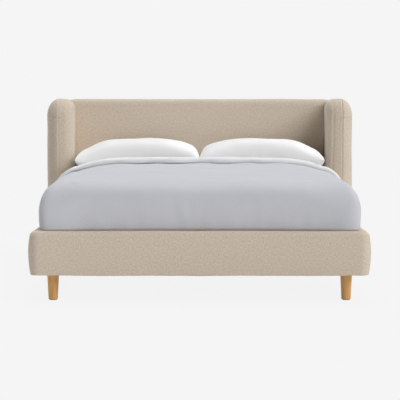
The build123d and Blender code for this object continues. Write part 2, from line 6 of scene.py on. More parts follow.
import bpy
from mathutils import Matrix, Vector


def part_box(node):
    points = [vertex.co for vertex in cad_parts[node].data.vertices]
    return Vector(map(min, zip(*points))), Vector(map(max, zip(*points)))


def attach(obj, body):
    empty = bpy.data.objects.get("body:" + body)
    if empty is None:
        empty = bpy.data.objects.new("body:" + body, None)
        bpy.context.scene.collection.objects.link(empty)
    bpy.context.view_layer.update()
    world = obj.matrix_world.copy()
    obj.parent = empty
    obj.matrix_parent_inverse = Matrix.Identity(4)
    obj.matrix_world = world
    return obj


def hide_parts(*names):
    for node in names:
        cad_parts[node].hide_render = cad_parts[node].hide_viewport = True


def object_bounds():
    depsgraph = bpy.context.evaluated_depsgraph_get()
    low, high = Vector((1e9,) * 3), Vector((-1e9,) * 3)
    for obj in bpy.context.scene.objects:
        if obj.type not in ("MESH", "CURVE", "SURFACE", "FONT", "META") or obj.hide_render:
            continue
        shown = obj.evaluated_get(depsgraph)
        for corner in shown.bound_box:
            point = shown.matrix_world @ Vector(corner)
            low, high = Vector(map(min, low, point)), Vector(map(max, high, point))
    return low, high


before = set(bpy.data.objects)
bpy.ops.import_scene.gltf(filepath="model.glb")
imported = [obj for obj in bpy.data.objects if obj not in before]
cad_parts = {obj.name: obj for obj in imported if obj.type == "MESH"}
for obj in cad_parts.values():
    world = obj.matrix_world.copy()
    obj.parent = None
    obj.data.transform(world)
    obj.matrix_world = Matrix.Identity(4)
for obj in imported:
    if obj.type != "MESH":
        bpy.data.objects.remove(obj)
cad_box = [list(corner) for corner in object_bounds()]

from math import cos, exp, hypot, pi, radians, sin, sqrt

import bmesh
import bpy
from mathutils import Vector, noise

MM = 0.001
QUARTER = pi / 2
print("CAD box", cad_box)

# %% [markdown]
# The camera stands where the photographer stood: far in front of the foot of the bed, at about the
# height of the headboard, with a long lens that looks slightly down. A long lens keeps the sides of the
# bed nearly parallel. It is set first, so that each piece can be judged in its real view.

# %% Camera
camera_height = 0.985
camera_distance = 8.5
camera_lens = 154.6
camera_pitch = radians(3.202)
camera_side = 0.002

foot_y = cad_box[0][1]
camera = bpy.data.objects.new("camera", bpy.data.cameras.new("camera"))
camera.data.lens = camera_lens
camera.location = (camera_side, foot_y - camera_distance, camera_height)
camera.rotation_euler = (QUARTER - camera_pitch, 0, 0)
bpy.context.scene.collection.objects.link(camera)
bpy.context.scene.camera = camera
print("camera at", tuple(camera.location))

# %% [markdown]
# Nodes are built in two kinds of trees: shader trees colour a surface, and geometry trees make what
# repeats. One small helper adds a node to either and sets or links its sockets, so that each tree below
# reads as a list of steps.

# %% A helper for nodes
def step(tree, kind, links=None, **settings):
    """Adds a node. A socket given as a value is linked, and anything else is set."""
    added = tree.nodes.new(kind)
    for key, value in settings.items():
        setattr(added, key, value)
    for key, value in (links or {}).items():
        if isinstance(value, bpy.types.NodeSocket):
            tree.links.new(value, added.inputs[key])
        else:
            added.inputs[key].default_value = value
    return added


def sum_of(tree, kind, first, second, operation):
    """Two sockets or numbers through a Math or Vector Math node."""
    return step(tree, kind, {0: first, 1: second}, operation=operation).outputs[0]


def number(tree, operation, first, second=0.0):
    return sum_of(tree, "ShaderNodeMath", first, second, operation)


def vector(tree, operation, first, second):
    return sum_of(tree, "ShaderNodeVectorMath", first, second, operation)


def weighted(tree, *pairs):
    """The sum of some sockets, each times its own weight."""
    terms = [number(tree, "MULTIPLY", socket, weight) for socket, weight in pairs]
    total = terms[0]
    for term in terms[1:]:
        total = number(tree, "ADD", total, term)
    return total


# %% [markdown]
# A finish is a Principled shader with a pattern on its colour and a bump. Numbers that are the same
# all over, such as sheen, are set on the shader's own sockets, because the export keeps only those.

# %% A helper for finishes
def blank_finish(name, roughness, **sockets):
    """A material with its tree, its shader and plain numbers on the shader's sockets."""
    finish = bpy.data.materials.new(name)
    finish.use_nodes = True
    shader = finish.node_tree.nodes["Principled BSDF"]
    shader.inputs["Roughness"].default_value = roughness
    for key, value in sockets.items():
        shader.inputs[key.replace("_", " ")].default_value = value
    return finish, finish.node_tree, shader


def blend_colours(tree, share, first, second):
    """A colour between two, by a share from 0 to 1."""
    mix = step(tree, "ShaderNodeMix", {0: share, 6: (*first, 1), 7: (*second, 1)}, data_type="RGBA")
    return mix.outputs[2]


def speckle(tree, place, size, detail=2.0):
    """Noise from 0 to 1 whose spots have a size in metres along each axis."""
    scaled = vector(tree, "DIVIDE", place, size)
    return step(tree, "ShaderNodeTexNoise", {"Vector": scaled, "Scale": 1, "Detail": detail}).outputs[0]


def sharpen(tree, share, low, high):
    """Stretches the part of a share between two limits to the whole from 0 to 1."""
    return step(tree, "ShaderNodeMapRange", {0: share, 1: low, 2: high}).outputs[0]


def raise_bump(tree, shader, height, distance, strength):
    bump = step(tree, "ShaderNodeBump", {"Height": height, "Distance": distance, "Strength": strength})
    tree.links.new(bump.outputs[0], shader.inputs["Normal"])


# %% [markdown]
# The bed is covered in a beige cloth that looks like linen: thick and thin yarns in both directions,
# which read as a fine speckle from a few metres. The cloth's pattern follows the surface, so it is read
# from a UV map in metres that every upholstered piece carries. Two noises, one drawn out along each
# direction of the cloth, are the uneven yarns, and a product of two sines is the plain weave.

# %% Woven cloth
weave_map = "cloth"
yarn_width_share, spot_length_share = 1.4, 1.6
yarn_contrast, spot_contrast = (0.3, 0.7), (0.32, 0.68)
yarn_weight, spot_weight = 0.3, 0.4
weave_height, yarn_height, cloth_bump = 0.5, 0.8, 0.7


def weave(tree, yarn):
    """The place on the cloth, and the height of a plain weave from 0 to 1."""
    place = step(tree, "ShaderNodeUVMap", uv_map=weave_map).outputs[0]
    threads = step(tree, "ShaderNodeSeparateXYZ", {0: vector(tree, "MULTIPLY", place, (pi / yarn,) * 3)})
    across = number(tree, "SINE", threads.outputs[0])
    along = number(tree, "SINE", threads.outputs[1])
    over = number(tree, "MULTIPLY", across, along)
    return place, number(tree, "ADD", number(tree, "MULTIPLY", over, 0.5), 0.5)


def woven_finish(name, light, dark, yarn, slub, spot, bump, roughness, **sockets):
    """A cloth of uneven yarns. The slub is a thick place's length, and the spot the speckle's size."""
    finish, tree, shader = blank_finish(name, roughness, **sockets)
    place, threads = weave(tree, yarn)
    width = yarn * yarn_width_share
    warp = sharpen(tree, speckle(tree, place, (width, slub, 1)), *yarn_contrast)
    weft = sharpen(tree, speckle(tree, place, (slub, width, 1)), *yarn_contrast)
    spots = sharpen(tree, speckle(tree, place, (spot, spot_length_share * spot, 1), 3), *spot_contrast)
    yarns = weighted(tree, (warp, yarn_weight), (weft, yarn_weight))
    tone = weighted(tree, (yarns, 1), (spots, spot_weight))
    tree.links.new(blend_colours(tree, tone, dark, light), shader.inputs["Base Color"])
    height = weighted(tree, (threads, weave_height), (yarns, yarn_height))
    raise_bump(tree, shader, height, bump, cloth_bump)
    return finish


linen = woven_finish(
    "beige_linen", (0.84, 0.722, 0.586), (0.474, 0.395, 0.312), yarn=1.1 * MM, slub=16 * MM,
    spot=6 * MM, bump=0.5 * MM, roughness=0.9, Sheen_Weight=0.25, Sheen_Roughness=0.5,
)
lining = woven_finish(
    "black_lining", (0.075, 0.075, 0.08), (0.035, 0.035, 0.04), yarn=0.9 * MM, slub=10 * MM,
    spot=5 * MM, bump=0.3 * MM, roughness=0.85,
)
duvet_grey = woven_finish(
    "duvet_grey_cotton", (0.64, 0.65, 0.69), (0.552, 0.562, 0.6), yarn=0.4 * MM, slub=6 * MM,
    spot=9 * MM, bump=0.12 * MM, roughness=0.85, Sheen_Weight=0.2, Sheen_Roughness=0.4,
)
duvet_white = woven_finish(
    "duvet_white_cotton", (0.87, 0.87, 0.88), (0.83, 0.83, 0.845), yarn=0.4 * MM, slub=6 * MM,
    spot=9 * MM, bump=0.12 * MM, roughness=0.85, Sheen_Weight=0.15, Sheen_Roughness=0.4,
)
pillow_white = woven_finish(
    "pillow_white_cotton", (0.97, 0.97, 0.975), (0.945, 0.945, 0.955), yarn=0.35 * MM, slub=5 * MM,
    spot=7 * MM, bump=0.1 * MM, roughness=0.8, Sheen_Weight=0.15, Sheen_Roughness=0.4,
)
ticking = woven_finish(
    "mattress_ticking", (0.84, 0.83, 0.80), (0.74, 0.73, 0.70), yarn=0.7 * MM, slub=9 * MM,
    spot=4 * MM, bump=0.25 * MM, roughness=0.85,
)
print("cloths", [finish.name for finish in (linen, lining, duvet_grey, duvet_white, pillow_white, ticking)])

# %% [markdown]
# Timber is read from Object coordinates, because its grain runs through the solid. The coordinates are
# squeezed along the grain, so that rings and fibres become long streaks. Each timber gets the finish
# whose grain follows its own long side.

# %% Timber
ring_stretch, fibre_stretch, pore_stretch = 9, 60, 16
fibre_width, pore_width = 0.9 * MM, 0.7 * MM
ring_weight, fibre_weight, pore_weight = 0.5, 0.5, -0.25
ring_pattern = {"Scale": 0.35, "Distortion": 5, "Detail": 3}
pore_contrast = 0.62, 0.72
grain_relief, grain_bump = 0.15 * MM, 0.4


def timber_finish(name, light, dark, axis, ring, roughness, coat=0.0):
    """Wood whose grain runs along an axis: wavy rings, fine fibres and small dark pores."""
    finish, tree, shader = blank_finish(name, roughness, Coat_Weight=coat, Coat_Roughness=0.3)
    place = step(tree, "ShaderNodeTexCoord").outputs["Object"]

    def along_grain(width, stretch):
        return [width * (stretch if index == axis else 1) for index in range(3)]

    ring_size = along_grain(ring, ring_stretch)
    drift = speckle(tree, place, [size * 3 for size in ring_size])
    shifted = vector(tree, "ADD", place, vector(tree, "MULTIPLY", drift, (ring,) * 3))
    rings = step(
        tree, "ShaderNodeTexWave",
        {"Vector": vector(tree, "DIVIDE", shifted, ring_size), **ring_pattern},
        wave_type="RINGS", rings_direction="XYZ"[axis],
    ).outputs[1]
    fibres = speckle(tree, place, along_grain(fibre_width, fibre_stretch), 4)
    pores = sharpen(tree, speckle(tree, place, along_grain(pore_width, pore_stretch)), *pore_contrast)
    tone = weighted(tree, (rings, ring_weight), (fibres, fibre_weight), (pores, pore_weight))
    tree.links.new(blend_colours(tree, tone, dark, light), shader.inputs["Base Color"])
    raise_bump(tree, shader, number(tree, "SUBTRACT", fibres, pores), grain_relief, grain_bump)
    return finish


oak = timber_finish("honey_oak", (0.86, 0.49, 0.155), (0.615, 0.315, 0.083), 2, 9 * MM, 0.42, coat=0.25)
beech = timber_finish("beech_slat_wood", (0.72, 0.50, 0.31), (0.60, 0.38, 0.21), 0, 7 * MM, 0.5)
softwood = [
    timber_finish(f"softwood_along_{'xyz'[axis]}", (0.76, 0.57, 0.36), (0.60, 0.39, 0.20), axis, 6 * MM, 0.7)
    for axis in range(3)
]
print("timbers", oak.name, beech.name, [finish.name for finish in softwood])

# %% [markdown]
# Plywood is seen on its veneer face, which is made like timber with a broader figure. Steel, plastic,
# felt and thread are even materials: they differ in the size of their grain and in their gloss.

# %% Plywood, steel, plastic, felt and thread
plywood = timber_finish("plywood_veneer", (0.68, 0.50, 0.31), (0.56, 0.38, 0.22), 2, 22 * MM, 0.65)


blotch_share = 14
grain_weight, blotch_weight = 0.6, 0.4
surface_bump = 0.5


def grainy_finish(name, light, dark, size, bump, roughness, **sockets):
    """An even material with a fine grain in its colour and its surface."""
    finish, tree, shader = blank_finish(name, roughness, **sockets)
    place = step(tree, "ShaderNodeTexCoord").outputs["Object"]
    grain = speckle(tree, place, (size,) * 3, 4)
    blotch = speckle(tree, place, (size * blotch_share,) * 3)
    tone = weighted(tree, (grain, grain_weight), (blotch, blotch_weight))
    tree.links.new(blend_colours(tree, tone, dark, light), shader.inputs["Base Color"])
    raise_bump(tree, shader, grain, bump, surface_bump)
    return finish


black_steel = grainy_finish(
    "black_powder_coat", (0.045, 0.045, 0.048), (0.02, 0.02, 0.022), 0.8 * MM, 0.1 * MM, 0.45, Metallic=0.3
)
zinc_steel = grainy_finish(
    "zinc_plate", (0.72, 0.72, 0.70), (0.52, 0.53, 0.52), 1.5 * MM, 0.03 * MM, 0.32, Metallic=1.0
)
holder_plastic = grainy_finish(
    "moulded_holder_plastic", (0.10, 0.10, 0.105), (0.06, 0.06, 0.065), 0.6 * MM, 0.08 * MM, 0.5
)
felt = grainy_finish("grey_felt", (0.30, 0.29, 0.28), (0.17, 0.165, 0.16), 0.7 * MM, 0.5 * MM, 0.98)
thread = grainy_finish("beige_thread", (0.74, 0.63, 0.49), (0.62, 0.51, 0.38), 0.5 * MM, 0.1 * MM, 0.7)
white_thread = grainy_finish("white_thread", (0.84, 0.84, 0.84), (0.76, 0.76, 0.77), 0.5 * MM, 0.1 * MM, 0.7)

node_finishes = {
    "oak": oak,
    "beech_slat": beech,
    "plywood": plywood,
    "black_steel": black_steel,
    "zinc_steel": zinc_steel,
    "holder_plastic": holder_plastic,
}
for name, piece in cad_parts.items():
    slot = piece.material_slots[0]
    if slot.material.name == "softwood":
        low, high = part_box(name)
        sides = list(high - low)
        slot.material = softwood[sides.index(max(sides))]
    elif slot.material.name in node_finishes:
        slot.material = node_finishes[slot.material.name]
print("finishes given to the CAD pieces")

# %% [markdown]
# The upholstered pieces share one idea. A section, which is the padding's profile, runs along an edge,
# round the corners, and flat cloth fills the side behind it. So one function makes the wings, the
# footboard and the duvet: it takes the places along the front edge, the places along the side arms, and
# the section's rows of depth and height. A corner is a quarter turn of the section about its axis, where
# the deepest row closes to a point, and a higher power makes it squarer than a circle.

# %% Patches of a mesh
corner_steps = 16


def spread(start, end, count):
    """Even places from start to end, both ends among them."""
    return [start + (end - start) * index / count for index in range(count + 1)]


def running_length(points):
    """The length along a line up to each of its points."""
    lengths = [0.0]
    for before, after in zip(points, points[1:]):
        lengths.append(lengths[-1] + sqrt(sum((b - a) ** 2 for a, b in zip(before, after))))
    return lengths


def add_patch(work, points, places, finish=0):
    """Adds a grid of points to the mesh in work, with its places on the cloth in metres."""
    layer = work.loops.layers.uv.get(weave_map) or work.loops.layers.uv.new(weave_map)
    corners = [[work.verts.new(point) for point in row] for row in points]
    for r in range(len(points) - 1):
        for c in range(len(points[r]) - 1):
            round_face = ((r, c), (r, c + 1), (r + 1, c + 1), (r + 1, c))
            face = work.faces.new([corners[i][j] for i, j in round_face])
            face.smooth = True
            face.material_index = finish
            for loop, (i, j) in zip(face.loops, round_face):
                loop[layer].uv = places[i][j]
    return corners


def add_end(work, points):
    """Adds one flat face that closes an open end, with the cloth laid along its two longer sides."""
    layer = work.loops.layers.uv.get(weave_map)
    face = work.faces.new([work.verts.new(point) for point in points])
    spans = [max(values) - min(values) for values in zip(*points)]
    shortest = spans.index(min(spans))
    for loop in face.loops:
        loop[layer].uv = [value for axis, value in enumerate(loop.vert.co) if axis != shortest]


def finished_mesh(name, work, *finishes, weld=0.02 * MM):
    """Welds the patches, turns their faces outwards and makes the piece."""
    bmesh.ops.remove_doubles(work, verts=work.verts, dist=weld)
    bmesh.ops.recalc_face_normals(work, faces=work.faces)
    mesh = bpy.data.meshes.new(name)
    work.to_mesh(mesh)
    work.free()
    piece = bpy.data.objects.new(name, mesh)
    bpy.context.scene.collection.objects.link(piece)
    for finish in finishes:
        mesh.materials.append(finish)
    print(name, len(mesh.polygons), "faces")
    return piece


# %% The padded edge that goes round corners
def edge_columns(front, arm, radius, both, power):
    """Places and inward directions: in along one arm, along the front and back along the other."""
    low, high = front[0], front[-1]
    corner = []
    for turn in spread(0, QUARTER, corner_steps)[1:-1]:
        reach = (sin(turn) ** power + cos(turn) ** power) ** (-1 / power)
        corner.append((reach * sin(turn), reach * cos(turn)))
    columns = []
    if both:
        columns += [((low - radius, b), (1, 0)) for b in reversed(arm)]
        columns += [((low - radius * c, radius - radius * s), (c, s)) for s, c in corner]
    columns += [((a, 0), (0, 1)) for a in front]
    columns += [((high + radius * s, radius - radius * c), (-s, c)) for s, c in corner]
    columns += [((high + radius, b), (-1, 0)) for b in arm]
    return columns


def padded_edge(work, front, arm, radius, section, place, both=True, sides=(0, -1), closed=True, power=2):
    """The section round the edge, the flat cloth behind it, and the ends where they are closed."""
    columns = edge_columns(front, arm, radius, both, power)
    along = running_length([origin for origin, inward in columns])
    around = running_length(section)
    points = [
        [place(a + inward_a * depth, b + inward_b * depth, height) for depth, height in section]
        for (a, b), (inward_a, inward_b) in columns
    ]
    add_patch(work, points, [[(u, v) for v in around] for u in along])
    flats = []
    for side in sides:
        height = section[side][1]
        flat = [[place(a, b, height) for b in arm] for a in front]
        add_patch(work, flat, [[(a, b) for b in arm] for a in front])
        flats.append(flat)
    if closed:
        add_end(work, points[-1])
        first, second = flats
        apart = abs(section[sides[1]][1] - section[sides[0]][1])
        back = [[(a, v) for a in front] for v in (0, apart)]
        add_patch(work, [[row[-1] for row in first], [row[-1] for row in second]], back)
        add_end(work, points[0])
        if not both:
            add_patch(work, [first[0], second[0]], [[(b, v) for b in arm] for v in (0, apart)])
    return points


# %% [markdown]
# Cloth over foam is never quite true. A second helper moves each point along its own normal by a depth
# that a rule gives for its place: seams are pressed in, slack places swell a little, and slow noise
# keeps the light on the cloth alive. Each piece's slack is a list of waves with their size and depth in
# metres. The noise has no seed, so it is the same on every run.

# %% Seams, swellings and slack
seam_swelling, seam_swelling_reach = 2.4 * MM, 20 * MM
seam_groove, seam_groove_width = 5 * MM, 2.8 * MM


def relax(piece, rise_at):
    """Moves each point along its normal by the rise that the rule gives for its place."""
    vertices = piece.data.vertices
    normals = [vertex.normal.copy() for vertex in vertices]
    for vertex, normal in zip(vertices, normals):
        vertex.co += normal * rise_at(vertex.co, normal)
    piece.data.update()


def bell(distance, width):
    """1 on a line, falling softly to nothing a few widths away."""
    return exp(-((distance / width) ** 2))


def smooth_share(value):
    """The value held between 0 and 1, with soft ends."""
    held = min(1, max(0, value))
    return held * held * (3 - 2 * held)


def slack(place, *waves):
    """Slow noise: the sum of some waves, each with a size and a depth."""
    return sum(depth * noise.noise(Vector(place) / size) for size, depth in waves)


def seam_rise(distance):
    """A sewn seam: pressed in on the line, and slightly raised on both sides of it."""
    swelling = seam_swelling * exp(-abs(distance) / seam_swelling_reach)
    return swelling - seam_groove * bell(distance, seam_groove_width)


# %% [markdown]
# A finished piece is hung on the body that it rides on, and the CAD solids that it stands for are
# hidden.

# %% Handing a piece over
upholstery_fill = 0.95
both_sides = ("left", -1), ("right", 1)


def hand_over(piece, slot, body, *stands_for, fill=None):
    """Hides what the piece replaces and hangs it on what carries it; its slot and fill are not used."""
    if stands_for:
        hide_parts(*stands_for)
    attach(piece, body)


def upholstered(piece, *stands_for):
    """Hands over a piece of the bed's firm upholstery."""
    hand_over(piece, "beige_upholstery", "bed_frame", *stands_for, fill=upholstery_fill)


# %% [markdown]
# A wing is a tall padded box whose front and top edges are one soft roll: squarer on the inside, rounder
# on the outside. A seam runs up the front edge and back along the top, where the inner cloth meets the
# outer one, and a short seam crosses the outer band below the round corner. Upholstery is hand work, so
# the two wings' seams and the dips beside their rolls differ a little.

# %% Wings
wing_edge = 100 * MM
inner_round_depth = 66 * MM
inner_squareness = 2.6
inner_taper = 7 * MM
outer_round = 72 * MM
seam_from_outside = {-1: 74 * MM, 1: 65 * MM}
near_seam = [1 * MM, 2 * MM, 3.5 * MM, 6 * MM]
cross_seam_below_top = 113 * MM
cross_seam_reach = 14 * MM
dip_x, dip_wander, dip_waves = 801 * MM, 3 * MM, 9
dip_depth_and_width = {-1: (-2.2 * MM, 16 * MM), 1: (2.6 * MM, 7 * MM)}
dip_front_reach = 60 * MM
still_rim = 1 * MM
wing_slack = (0.21, 2.2 * MM), (0.06, 0.7 * MM)

wing_low, wing_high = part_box("wing_cover_right")
seam_x = {side: wing_high.x - inset for side, inset in seam_from_outside.items()}
crest_x = wing_high.x - outer_round


def wing_section_rows():
    """Depth and x of the edge's rows, from the inner side over the crest to the outer side."""
    rows = [(depth, wing_low.x) for depth in spread(wing_edge, inner_round_depth, 8)[:-1]]
    power = 2 / inner_squareness
    for turn in spread(0, QUARTER, 56):
        depth = inner_round_depth * (1 - max(0, sin(turn)) ** power)
        rows.append((depth, crest_x - (crest_x - wing_low.x) * max(0, cos(turn)) ** power))
    for turn in spread(0, QUARTER, 64)[1:]:
        rows.append((wing_edge * (1 - cos(turn)), crest_x + outer_round * sin(turn)))
    return rows


cross_seam_z = wing_high.z - cross_seam_below_top
wing_front_places = sorted(
    spread(wing_low.z, wing_high.z - wing_edge, 70)
    + [cross_seam_z + side * offset for offset in near_seam for side in (-1, 1)]
    + [cross_seam_z]
)
wing_arm_places = spread(wing_edge, wing_high.y - wing_low.y, 28)


def wing_rise(place, normal):
    """Seams, the soft dip beside the inner roll, and slack, on a wing's surface."""
    side = -1 if place.x < 0 else 1
    x, y, z = abs(place.x), place.y, place.z
    if y > wing_high.y - still_rim or z < wing_low.z + still_rim:
        return 0.0
    rise = slack(place, *wing_slack)
    if x > wing_low.x + 3 * inner_taper:
        rise += seam_rise(x - seam_x[side])
        depth, width = dip_depth_and_width[side]
        line = dip_x + dip_wander * sin(z * dip_waves)
        rise -= depth * bell(x - line, width) * bell(y - wing_low.y, dip_front_reach)
        if x > seam_x[side] - cross_seam_reach and y < wing_low.y + wing_edge:
            rise += seam_rise(z - cross_seam_z)
    return rise


def make_wing(label, side):
    """One wing: the right one, or its mirror image where side is -1."""
    work = bmesh.new()

    def place(a, b, height):
        inside = max(0, (crest_x - height) / (crest_x - wing_low.x))
        taper = inner_taper * b / (wing_high.y - wing_low.y)
        return (side * (height + inside * taper), wing_low.y + b, a)

    padded_edge(work, wing_front_places, wing_arm_places, wing_edge, wing_section_rows(), place, both=False)
    wing = finished_mesh(f"wing_upholstery_{label}", work, linen)
    relax(wing, wing_rise)
    upholstered(wing, f"wing_cover_{label}", f"wing_foam_{label}")


for label, side in both_sides:
    make_wing(label, side)

# %% [markdown]
# The base is padded all round: a firm belly that leans in towards the floor and towards its round top
# edge. The footboard has a round corner at each end and takes the wings' way of making. The side rails
# are straight, so their section is only drawn along, and their ends press a little into the wings and
# the footboard.

# %% Footboard and side rails
foot_corner = 55 * MM
belly_share = 0.507
lean_low, lean_high = 10.5 * MM, 14.5 * MM
top_round, low_round = 30 * MM, 6 * MM
top_sink = 4.5 * MM
rail_overlap = 8 * MM
base_slack = (0.26, 1.6 * MM), (0.07, 0.5 * MM)
pull_reach, pull = 35 * MM, (0.035, 0.8 * MM)

foot_low, foot_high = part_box("footboard_cover")
belly_z = foot_low.z + belly_share * (foot_high.z - foot_low.z)
base_top = foot_high.z - top_sink


def lean(z):
    """How far the padding lies inside its belly at a height."""
    if z < belly_z:
        return lean_low * ((belly_z - z) / (belly_z - foot_low.z)) ** 2
    return lean_high * ((z - belly_z) / (foot_high.z - belly_z)) ** 2


def base_rows(depth):
    """Depth and height of the base's section, from its underside over the belly to its top."""
    low_z, high_z = foot_low.z + low_round, base_top - top_round
    rows = [(d, foot_low.z) for d in spread(depth, lean(low_z) + low_round, 6)[:-1]]
    for turn in spread(0, QUARTER, 5):
        rows.append((lean(low_z) + low_round * (1 - sin(turn)), low_z - low_round * cos(turn)))
    rows += [(lean(z), z) for z in spread(low_z, high_z, 26)[1:]]
    for turn in spread(0, QUARTER, 14)[1:]:
        rows.append((lean(high_z) + top_round * (1 - cos(turn)), high_z + top_round * sin(turn)))
    return rows + [(d, base_top) for d in spread(lean(high_z) + top_round, depth, 6)[1:]]


def base_rise(place, normal):
    """Slack of the base's cover: slow swellings, with fine pulls along the lower edge."""
    near_edge = bell(place.z - foot_low.z, pull_reach)
    return slack(place, *base_slack) + near_edge * slack((place.x, place.y, 0), pull)


def make_footboard():
    work = bmesh.new()
    corner_x = foot_high.x - foot_corner
    front = spread(-corner_x, corner_x, 150)
    arm = spread(foot_corner, foot_high.y - foot_low.y, 5)

    def place(a, b, height):
        return (a, foot_low.y + b, height)

    padded_edge(work, front, arm, foot_corner, base_rows(foot_corner), place)
    return finished_mesh("footboard_upholstery", work, linen)


footboard = make_footboard()
relax(footboard, base_rise)
upholstered(footboard, "footboard_cover", "footboard_foam")


def drawn_piece(name, section, places, place, *finishes):
    """A closed section drawn along a straight line, with both its ends closed."""
    work = bmesh.new()
    loop = section + section[:1]
    around = running_length(loop)
    points = [[place(along, *row) for row in loop] for along in places]
    add_patch(work, points, [[(along, v) for v in around] for along in places])
    add_end(work, points[0][:-1])
    add_end(work, points[-1][:-1])
    return finished_mesh(name, work, *finishes)


for label, side in both_sides:
    rail_low, rail_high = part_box(f"side_rail_cover_{label}")
    inner = min(abs(rail_low.x), abs(rail_high.x))

    def rail_place(along, depth, height, side=side):
        return (side * (foot_high.x - depth), along, height)

    places = spread(rail_low.y - rail_overlap, rail_high.y + rail_overlap, 150)
    section = base_rows(foot_high.x - inner)
    rail = drawn_piece(f"side_rail_upholstery_{label}", section, places, rail_place, linen)
    relax(rail, base_rise)
    upholstered(rail, f"side_rail_cover_{label}", f"side_rail_foam_{label}")

# %% [markdown]
# The headboard panel fills the room between the wings. It is flat, with one round edge along its top
# front. Its sides turn in a little and run on inside the wings' padding, so that no gap opens there, and
# what is hidden in a wing is kept clear of the wing's own surface.

# %% Headboard panel
panel_round = 46 * MM
side_turn = 50 * MM
turn_in = 9 * MM
panel_overlap = 34 * MM
hidden_inset, hidden_slope = 4 * MM, 0.2
panel_flat_back = 20 * MM
panel_slack = (0.33, 3 * MM), (0.08, 0.6 * MM)

panel_low, panel_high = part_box("headboard_cover")
panel_half = panel_high.x + panel_overlap


def panel_rows():
    """Y and Z of the panel's section: up its front, over the round edge, back, and down behind."""
    rows = [(panel_low.y, z) for z in spread(panel_low.z, panel_high.z - panel_round, 56)]
    axis_y, axis_z = panel_low.y + panel_round, panel_high.z - panel_round
    for turn in spread(0, QUARTER, 18)[1:]:
        rows.append((axis_y - panel_round * cos(turn), axis_z + panel_round * sin(turn)))
    rows += [(y, panel_high.z) for y in spread(axis_y, panel_high.y, 5)[1:]]
    return rows + [(panel_high.y, z) for z in spread(panel_high.z, panel_low.z, 40)[1:]]


def panel_place(x, y, z):
    """Draws the front in towards the panel's sides, and keeps what lies in the wing inside it."""
    from_side = panel_half - abs(x)
    drawn = turn_in * max(0, 1 - from_side / side_turn) ** 2
    y = y + drawn if y < panel_high.y - panel_round else y
    hidden = abs(x) - panel_high.x - inner_taper
    if hidden > 0:
        y = min(y, panel_high.y - hidden_inset)
        z = min(max(z, panel_low.z + hidden_inset), panel_high.z - hidden_slope * hidden)
    return (x, y, z)


def panel_rise(place, normal):
    if place.y > panel_high.y - panel_flat_back:
        return 0.0
    return slack(place, *panel_slack)


panel_places = sorted(
    spread(side_turn - panel_half, panel_half - side_turn, 110)
    + [side * (panel_half - offset) for offset in spread(0, side_turn, 10)[:-1] for side in (-1, 1)]
)
panel = drawn_piece("headboard_upholstery", panel_rows(), panel_places, panel_place, linen)
relax(panel, panel_rise)
upholstered(panel, "headboard_cover", "headboard_foam")

# %% [markdown]
# A thin black cloth closes the back of the headboard. It is stapled round its edge, where it lies flat,
# and it is slightly slack in the middle.

# %% Back cloth
cloth_low, cloth_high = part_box("headboard_back_cloth")
lining_proud = 0.9 * MM
lining_thickness = 0.6 * MM
tight_rim = 80 * MM
lining_slack = (0.18, 0.8 * MM)


def make_back_cloth():
    work = bmesh.new()
    across, up = spread(cloth_low.x, cloth_high.x, 160), spread(cloth_low.z, cloth_high.z, 90)

    def place(x, z):
        edge = min(x - cloth_low.x, cloth_high.x - x, z - cloth_low.z, cloth_high.z - z)
        loose = min(1, edge / tight_rim)
        return (x, cloth_high.y + lining_proud + loose * slack((x, 0, z), lining_slack), z)

    add_patch(work, [[place(x, z) for x in across] for z in up], [[(x, z) for x in across] for z in up])
    return finished_mesh("headboard_back_lining", work, lining)


back_cloth = make_back_cloth()
wall = back_cloth.modifiers.new("thickness", "SOLIDIFY")
wall.thickness, wall.offset = lining_thickness, 0
hand_over(back_cloth, "back_cloth", "bed_frame", "headboard_back_cloth")

# %% [markdown]
# The mattress is a rounded block in quilted ticking. Its plain block is made first: a grid of points
# on top and underneath, and rings of points round the side, which are drawn in along both edges.

# %% Mattress block
mattress_corner, mattress_edge = 60 * MM, 32 * MM
mattress_low, mattress_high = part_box("mattress")


def on_rounded_plan(x, y, inset):
    """Moves a point of the square plan into the plan with round corners, drawn in by the inset."""
    half_x = (mattress_high.x - mattress_low.x) / 2
    half_y = (mattress_high.y - mattress_low.y) / 2
    middle_y = (mattress_high.y + mattress_low.y) / 2
    px, py = x * (half_x - inset) / half_x, (y - middle_y) * (half_y - inset) / half_y
    radius = mattress_corner - inset
    over_x = abs(px) - (half_x - inset - radius)
    over_y = abs(py) - (half_y - inset - radius)
    if over_x > 0 and over_y > 0:
        share = max(over_x, over_y) / hypot(over_x, over_y)
        px = (abs(px) - over_x * (1 - share)) * (1 if px > 0 else -1)
        py = (abs(py) - over_y * (1 - share)) * (1 if py > 0 else -1)
    return px, py + middle_y


def plan_places(count_x, count_y):
    """Even places along the mattress's two sides, and its square outline through them."""
    xs = spread(mattress_low.x, mattress_high.x, count_x)
    ys = spread(mattress_low.y, mattress_high.y, count_y)
    ring = [(x, ys[0]) for x in xs[:-1]] + [(xs[-1], y) for y in ys[:-1]]
    ring += [(x, ys[-1]) for x in reversed(xs[1:])] + [(xs[0], y) for y in reversed(ys)]
    return xs, ys, ring


def plan_line(ring, inset, z):
    """The outline at a height, with its corners rounded and drawn in by the inset."""
    return [(*on_rounded_plan(x, y, inset), z) for x, y in ring]


